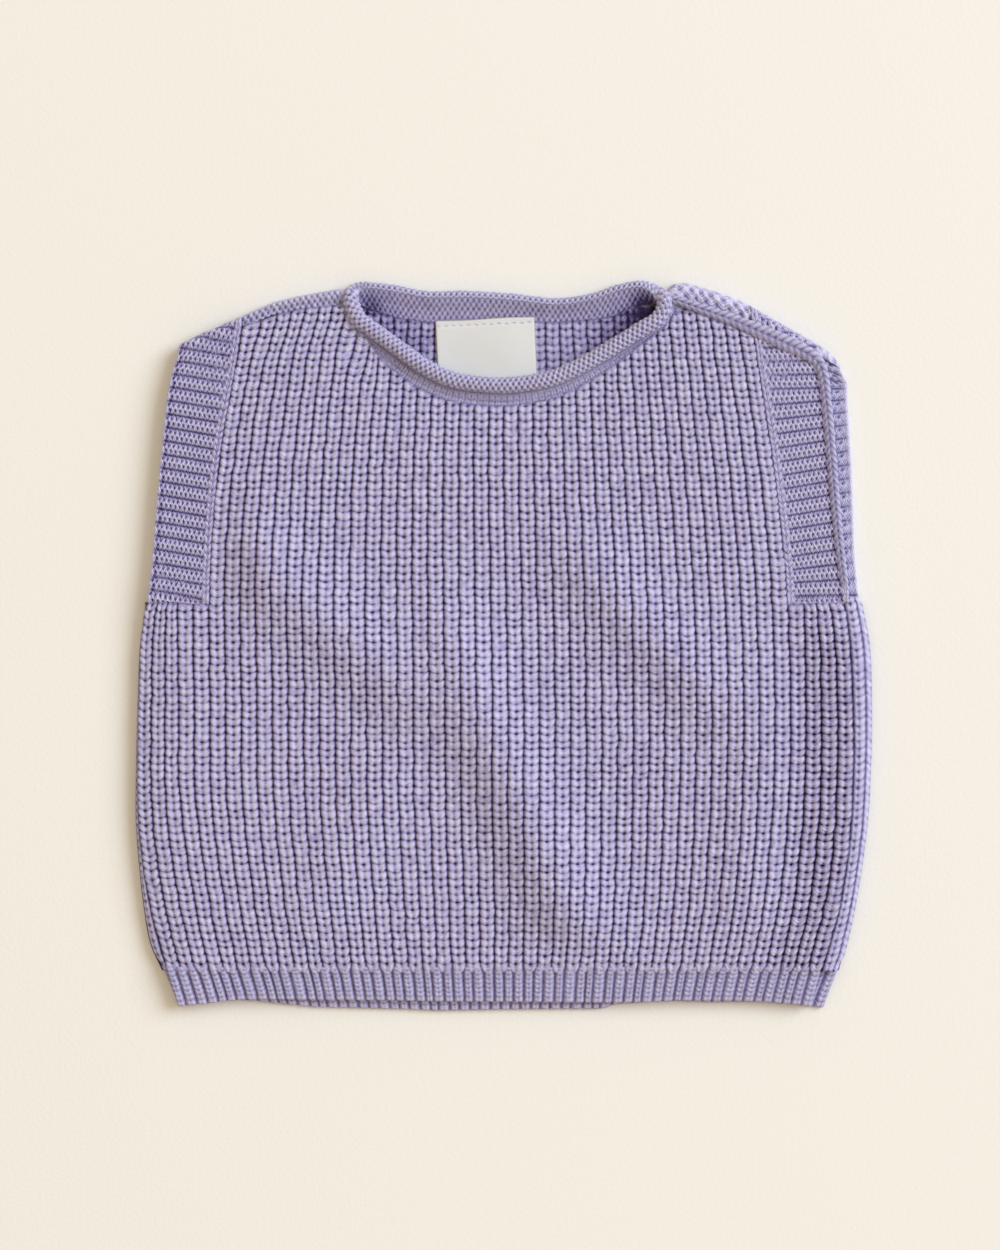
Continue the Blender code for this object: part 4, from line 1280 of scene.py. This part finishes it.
# %% Right shoulder chain
CHAIN = table(
    "x y z width",
    (63.0, 131.6, 6.6, 3.0),
    (67.0, 130.9, 6.8, 3.5),
    (71.5, 129.3, 7.0, 3.9),
    (79.5, 126.5, 7.2, 4.3),
    (88.5, 123.2, 7.3, 4.9),
    (98.0, 119.2, 7.4, 5.8),
    (108.0, 114.7, 7.4, 6.4),
    (116.0, 110.8, 7.4, 5.6),
    (120.4, 107.0, 7.3, 4.8),
    (122.2, 101.5, 7.2, 4.3),
    (123.2, 93.0, 7.1, 4.1),
    (124.9, 75.0, 7.1, 4.0),
    (127.2, 48.0, 7.1, 3.8),
    (129.2, 30.0, 7.0, 3.5),
    (130.8, 19.0, 6.5, 2.8),
)
CHAIN_PITCH = LINK_HEIGHT
CHAIN_LINK_STEPS = 6
CHAIN_AROUND = 20
CHAIN_RISE = 1.35

fine = np.linspace(0.0, len(CHAIN["x"]) - 1, 1200)


def along_chain(place, column):
    """A column of the chain's table on a smooth curve, at places counted in rows."""
    value = CHAIN[column]
    i = np.clip(np.floor(place).astype(int), 0, len(value) - 2)
    t = place - i
    before, after = value[np.maximum(i - 1, 0)], value[np.minimum(i + 2, len(value) - 1)]
    return curve(t, before, value[i], value[i + 1], after)


chain_x, chain_y = along_chain(fine, "x"), along_chain(fine, "y")
run = travelled_along(chain_x, chain_y)
CHAIN_LENGTH = run[-1]
CHAIN_STEPS = int(CHAIN_LENGTH / CHAIN_PITCH) * CHAIN_LINK_STEPS


def chain_place(column, row):
    distance = column / CHAIN_STEPS * CHAIN_LENGTH
    place = np.interp(distance, run, fine)
    x, y, z, width = (along_chain(place, name) for name in ("x", "y", "z", "width"))
    ahead = np.minimum(place + 0.05, fine[-1])
    behind = ahead - 0.1
    run_x, run_y = (along_chain(ahead, name) - along_chain(behind, name) for name in ("x", "y"))
    length = np.hypot(run_x, run_y)
    out_x, out_y = run_y / length, -run_x / length
    turn = 2.0 * math.pi * (row % CHAIN_AROUND) / CHAIN_AROUND
    off, up = np.cos(turn), np.sin(turn)
    link = (distance / CHAIN_PITCH - 0.8 * np.abs(off)) % 1.0
    plump = np.sin(math.pi * link) ** 0.5
    ends = np.sqrt(np.clip(np.minimum(distance, CHAIN_LENGTH - distance) / 2.0, 0.02, 1.0))
    size = (0.84 + 0.16 * plump) * ends
    crease = 0.55 * spot(off, 0.2) * (up > 0)
    x = x + out_x * off * width / 2 * size
    y = y + out_y * off * width / 2 * size
    z = z + up * CHAIN_RISE * size - crease
    # painted shade: darker between the links and in the crease, and a little on the side turned away from the
    # window
    painted_shade = np.clip(0.75 * (1.0 - plump) + 0.7 * crease + 0.12 * smooth(2.0 * off), 0.0, 1.0)
    return x, y, z, off + 0.5, 3.0 * distance / CHAIN_PITCH, painted_shade


bm = new_sheet(CHAIN_STEPS, CHAIN_AROUND, chain_place)
bmesh.ops.remove_doubles(bm, verts=bm.verts, dist=1e-4)
bmesh.ops.holes_fill(bm, edges=[edge for edge in bm.edges if edge.is_boundary], sides=0)
new_piece("shoulder_chain", bm, BAND_WOOL, "armband_right")
print("the chain is", round(CHAIN_LENGTH), "mm long")

# %% [markdown]
# ## The label
# A woven cotton label is sewn inside the back of the neck. It is left bare. A flat plate would look like
# card. So it lies in a very soft wave, dips where it is sewn down, and its cut edges are a little darker.
# Its threads are too fine for the mesh, so they are bump in its material. On the label, the attribute
# called stitch says how far along and up it a point lies, in millimetres, and how near its cut edge.

# %% Label
LABEL_SIZE = (37.8, 26.0)
LABEL_CENTRE = (-6.0, 111.2)
LABEL_TURN = math.radians(2.6)
LABEL_TOP = 4.75
LABEL_WALL = 0.6
LABEL_GRID = (76, 52)
THREAD = 0.4  # the threads are 0.25 mm apart, and 0.4 mm is the finest that shows
HELD_BELOW = 1.9  # the stitches run this far below the label's top


def label_point(along, up):
    """X and Y of a place on the label, from its middle, in millimetres."""
    x = LABEL_CENTRE[0] + along * math.cos(LABEL_TURN) - up * math.sin(LABEL_TURN)
    y = LABEL_CENTRE[1] + along * math.sin(LABEL_TURN) + up * math.cos(LABEL_TURN)
    return x, y


def label_place(column, row):
    along = (column / LABEL_GRID[0] - 0.5) * LABEL_SIZE[0]
    up = (row / LABEL_GRID[1] - 0.5) * LABEL_SIZE[1]
    rim = np.minimum(LABEL_SIZE[0] / 2 - np.abs(along), LABEL_SIZE[1] / 2 - np.abs(up))
    x, y = label_point(along, up + 0.15 * np.sin(along / 5.0))
    wave = 0.22 * np.sin(along / 6.5 + 0.6) + 0.12 * np.sin(up / 4.0 + along / 9.0)
    pulled = 0.18 * spot(up - LABEL_SIZE[1] / 2 + HELD_BELOW, 0.7)
    z = LABEL_TOP + wave - pulled - 0.25 * (1.0 - smooth(rim / 0.6))
    return x, y, z, along, up, 1.0 - smooth(rim / 0.55)


cotton, surface, place = new_material("woven_cotton_tape")
calculate, noise, blend = node_makers(cotton)
along, up, rim = stitch_counts(cotton)
over, under = (calculate("SINE", calculate("MULTIPLY", at, 2 * math.pi / THREAD)) for at in (along, up))
weave = calculate("MULTIPLY", over, under)
bump = add_node(cotton, "Bump", {"Height": weave, "Strength": 0.3, "Distance": 0.0001})
tone = blend(linear("#E2E7E6"), linear("#D8DDDC"), noise(place, 90.0, 3.0))
edged = blend(tone, linear("#B9A78F"), rim)
set_inputs(cotton, surface, {"Base Color": edged, "Normal": bump.outputs["Normal"]})
set_inputs(cotton, surface, {"Roughness": 0.8, "Sheen Weight": 0.1})

bm = new_sheet(*LABEL_GRID, label_place)
close_sheet(bm, LABEL_TOP - LABEL_WALL - 0.1)
label = new_piece("neck_label", bm, cotton, "label")

# %% [markdown]
# ## The label's stitches
# A row of lilac stitches holds the label along the top. A dashed line in the material would be simpler, but
# sewn thread stands up from the cloth and catches the light. So each stitch is a small flattened ball, and
# no two lie quite in line.

# %% Stitches that hold the label
DASHES = 13
DASH_LENGTH = 1.7
DASH_WIDTH = 0.55
DASH_MARGIN = 1.6
bm = bmesh.new()
for number in range(DASHES):
    along = mix(-LABEL_SIZE[0] / 2 + DASH_MARGIN, LABEL_SIZE[0] / 2 - DASH_MARGIN, number / (DASHES - 1))
    made = bmesh.ops.create_uvsphere(bm, u_segments=10, v_segments=6, radius=1.0)["verts"]
    bmesh.ops.scale(bm, verts=made, vec=(DASH_LENGTH / 2, DASH_WIDTH / 2, 0.3))
    tilt = LABEL_TURN + 0.16 * math.sin(2.1 * number)
    bmesh.ops.rotate(bm, verts=made, matrix=Matrix.Rotation(tilt, 3, "Z"))
    x, y = label_point(along, LABEL_SIZE[1] / 2 - HELD_BELOW + 0.12 * math.sin(3.3 * number))
    bmesh.ops.translate(bm, verts=made, vec=(x, y, LABEL_TOP + 0.22 * math.sin(along / 6.5 + 0.6)))
stitches = new_piece("label_stitches", bm, BAND_WOOL, "label")

# %% [markdown]
# ## The floor
# The vest lies on pale cream paper. A backdrop of one colour would take no shadow from it. So the floor is
# a wide sheet with a very fine grain, far larger than the picture.

# %% Floor
FLOOR_HALF = 1.6
paper, surface, place = new_material("matt_cream_paper")
noise = node_makers(paper)[1]
grain = noise(place, 650.0, 4.0)
bump = add_node(paper, "Bump", {"Height": grain, "Strength": 0.25, "Distance": 0.0004})
set_inputs(paper, surface, {"Base Color": linear("#F1F2EB"), "Normal": bump.outputs["Normal"]})
set_inputs(paper, surface, {"Roughness": 0.9, "Specular IOR Level": 0.2})
bm = bmesh.new()
bmesh.ops.create_grid(bm, x_segments=4, y_segments=4, size=FLOOR_HALF)
mesh = bpy.data.meshes.new("paper_floor")
bm.to_mesh(mesh)
bm.free()
mesh.materials.append(paper)
floor = new_object("paper_floor", mesh)
print("the floor is", 2 * FLOOR_HALF, "m wide")

# %% [markdown]
# ## The light
# The light comes from one side, as from a large window on the right in a warm room. A small lamp would give
# hard shadows between the ribs. So the window is a wide disk of light, a little cool, and the room adds an
# even, warm light that keeps the hollows from going black.

# %% Light
ROOM_COLOUR = "#FFE9CC"
ROOM_STRENGTH = 0.66
WINDOW_COLOUR = "#DAE6FA"
WINDOW_PLACE = (4.8, 2.4, 4.1)
WINDOW_SIZE = 4.8
WINDOW_POWER = 445.0

world = bpy.data.worlds.new("soft_room")
world.use_nodes = True
room = world.node_tree.nodes["Background"]
room.inputs["Color"].default_value = linear(ROOM_COLOUR)
room.inputs["Strength"].default_value = ROOM_STRENGTH
bpy.context.scene.world = world

window_light = bpy.data.lights.new("window", "AREA")
window_light.shape = "DISK"
window_light.size = WINDOW_SIZE
window_light.energy = WINDOW_POWER
window_light.color = linear(WINDOW_COLOUR)[:3]
window = new_object("window", window_light)
window.location = WINDOW_PLACE
window.rotation_euler = (-Vector(WINDOW_PLACE)).to_track_quat("-Z", "Y").to_euler()
print("the window stands", round(Vector(WINDOW_PLACE).length, 1), "m away")

# %% [markdown]
# ## The camera
# The camera looks straight down. From nearer, the roll and the folds would seem to lean outwards, so it
# stands 1.4 m above the cloth with a long lens. The view is the standard one, which leaves the colours as
# the materials give them.

# %% Camera
CAMERA_DISTANCE = 1.4
CLOTH_LEVEL = 0.006  # the height at which the photograph's scale was measured
PICTURE_MIDDLE = (-0.0008, 0.0076)
SENSOR = 36.0
LENS = 106.0

view = bpy.data.cameras.new("from_above")
view.sensor_width = SENSOR
view.lens = LENS
camera = new_object("from_above", view)
camera.location = (*PICTURE_MIDDLE, CAMERA_DISTANCE + CLOTH_LEVEL)
bpy.context.scene.camera = camera
bpy.context.scene.view_settings.view_transform = "Standard"
print("the camera looks down from", round(camera.location.z, 2), "m")
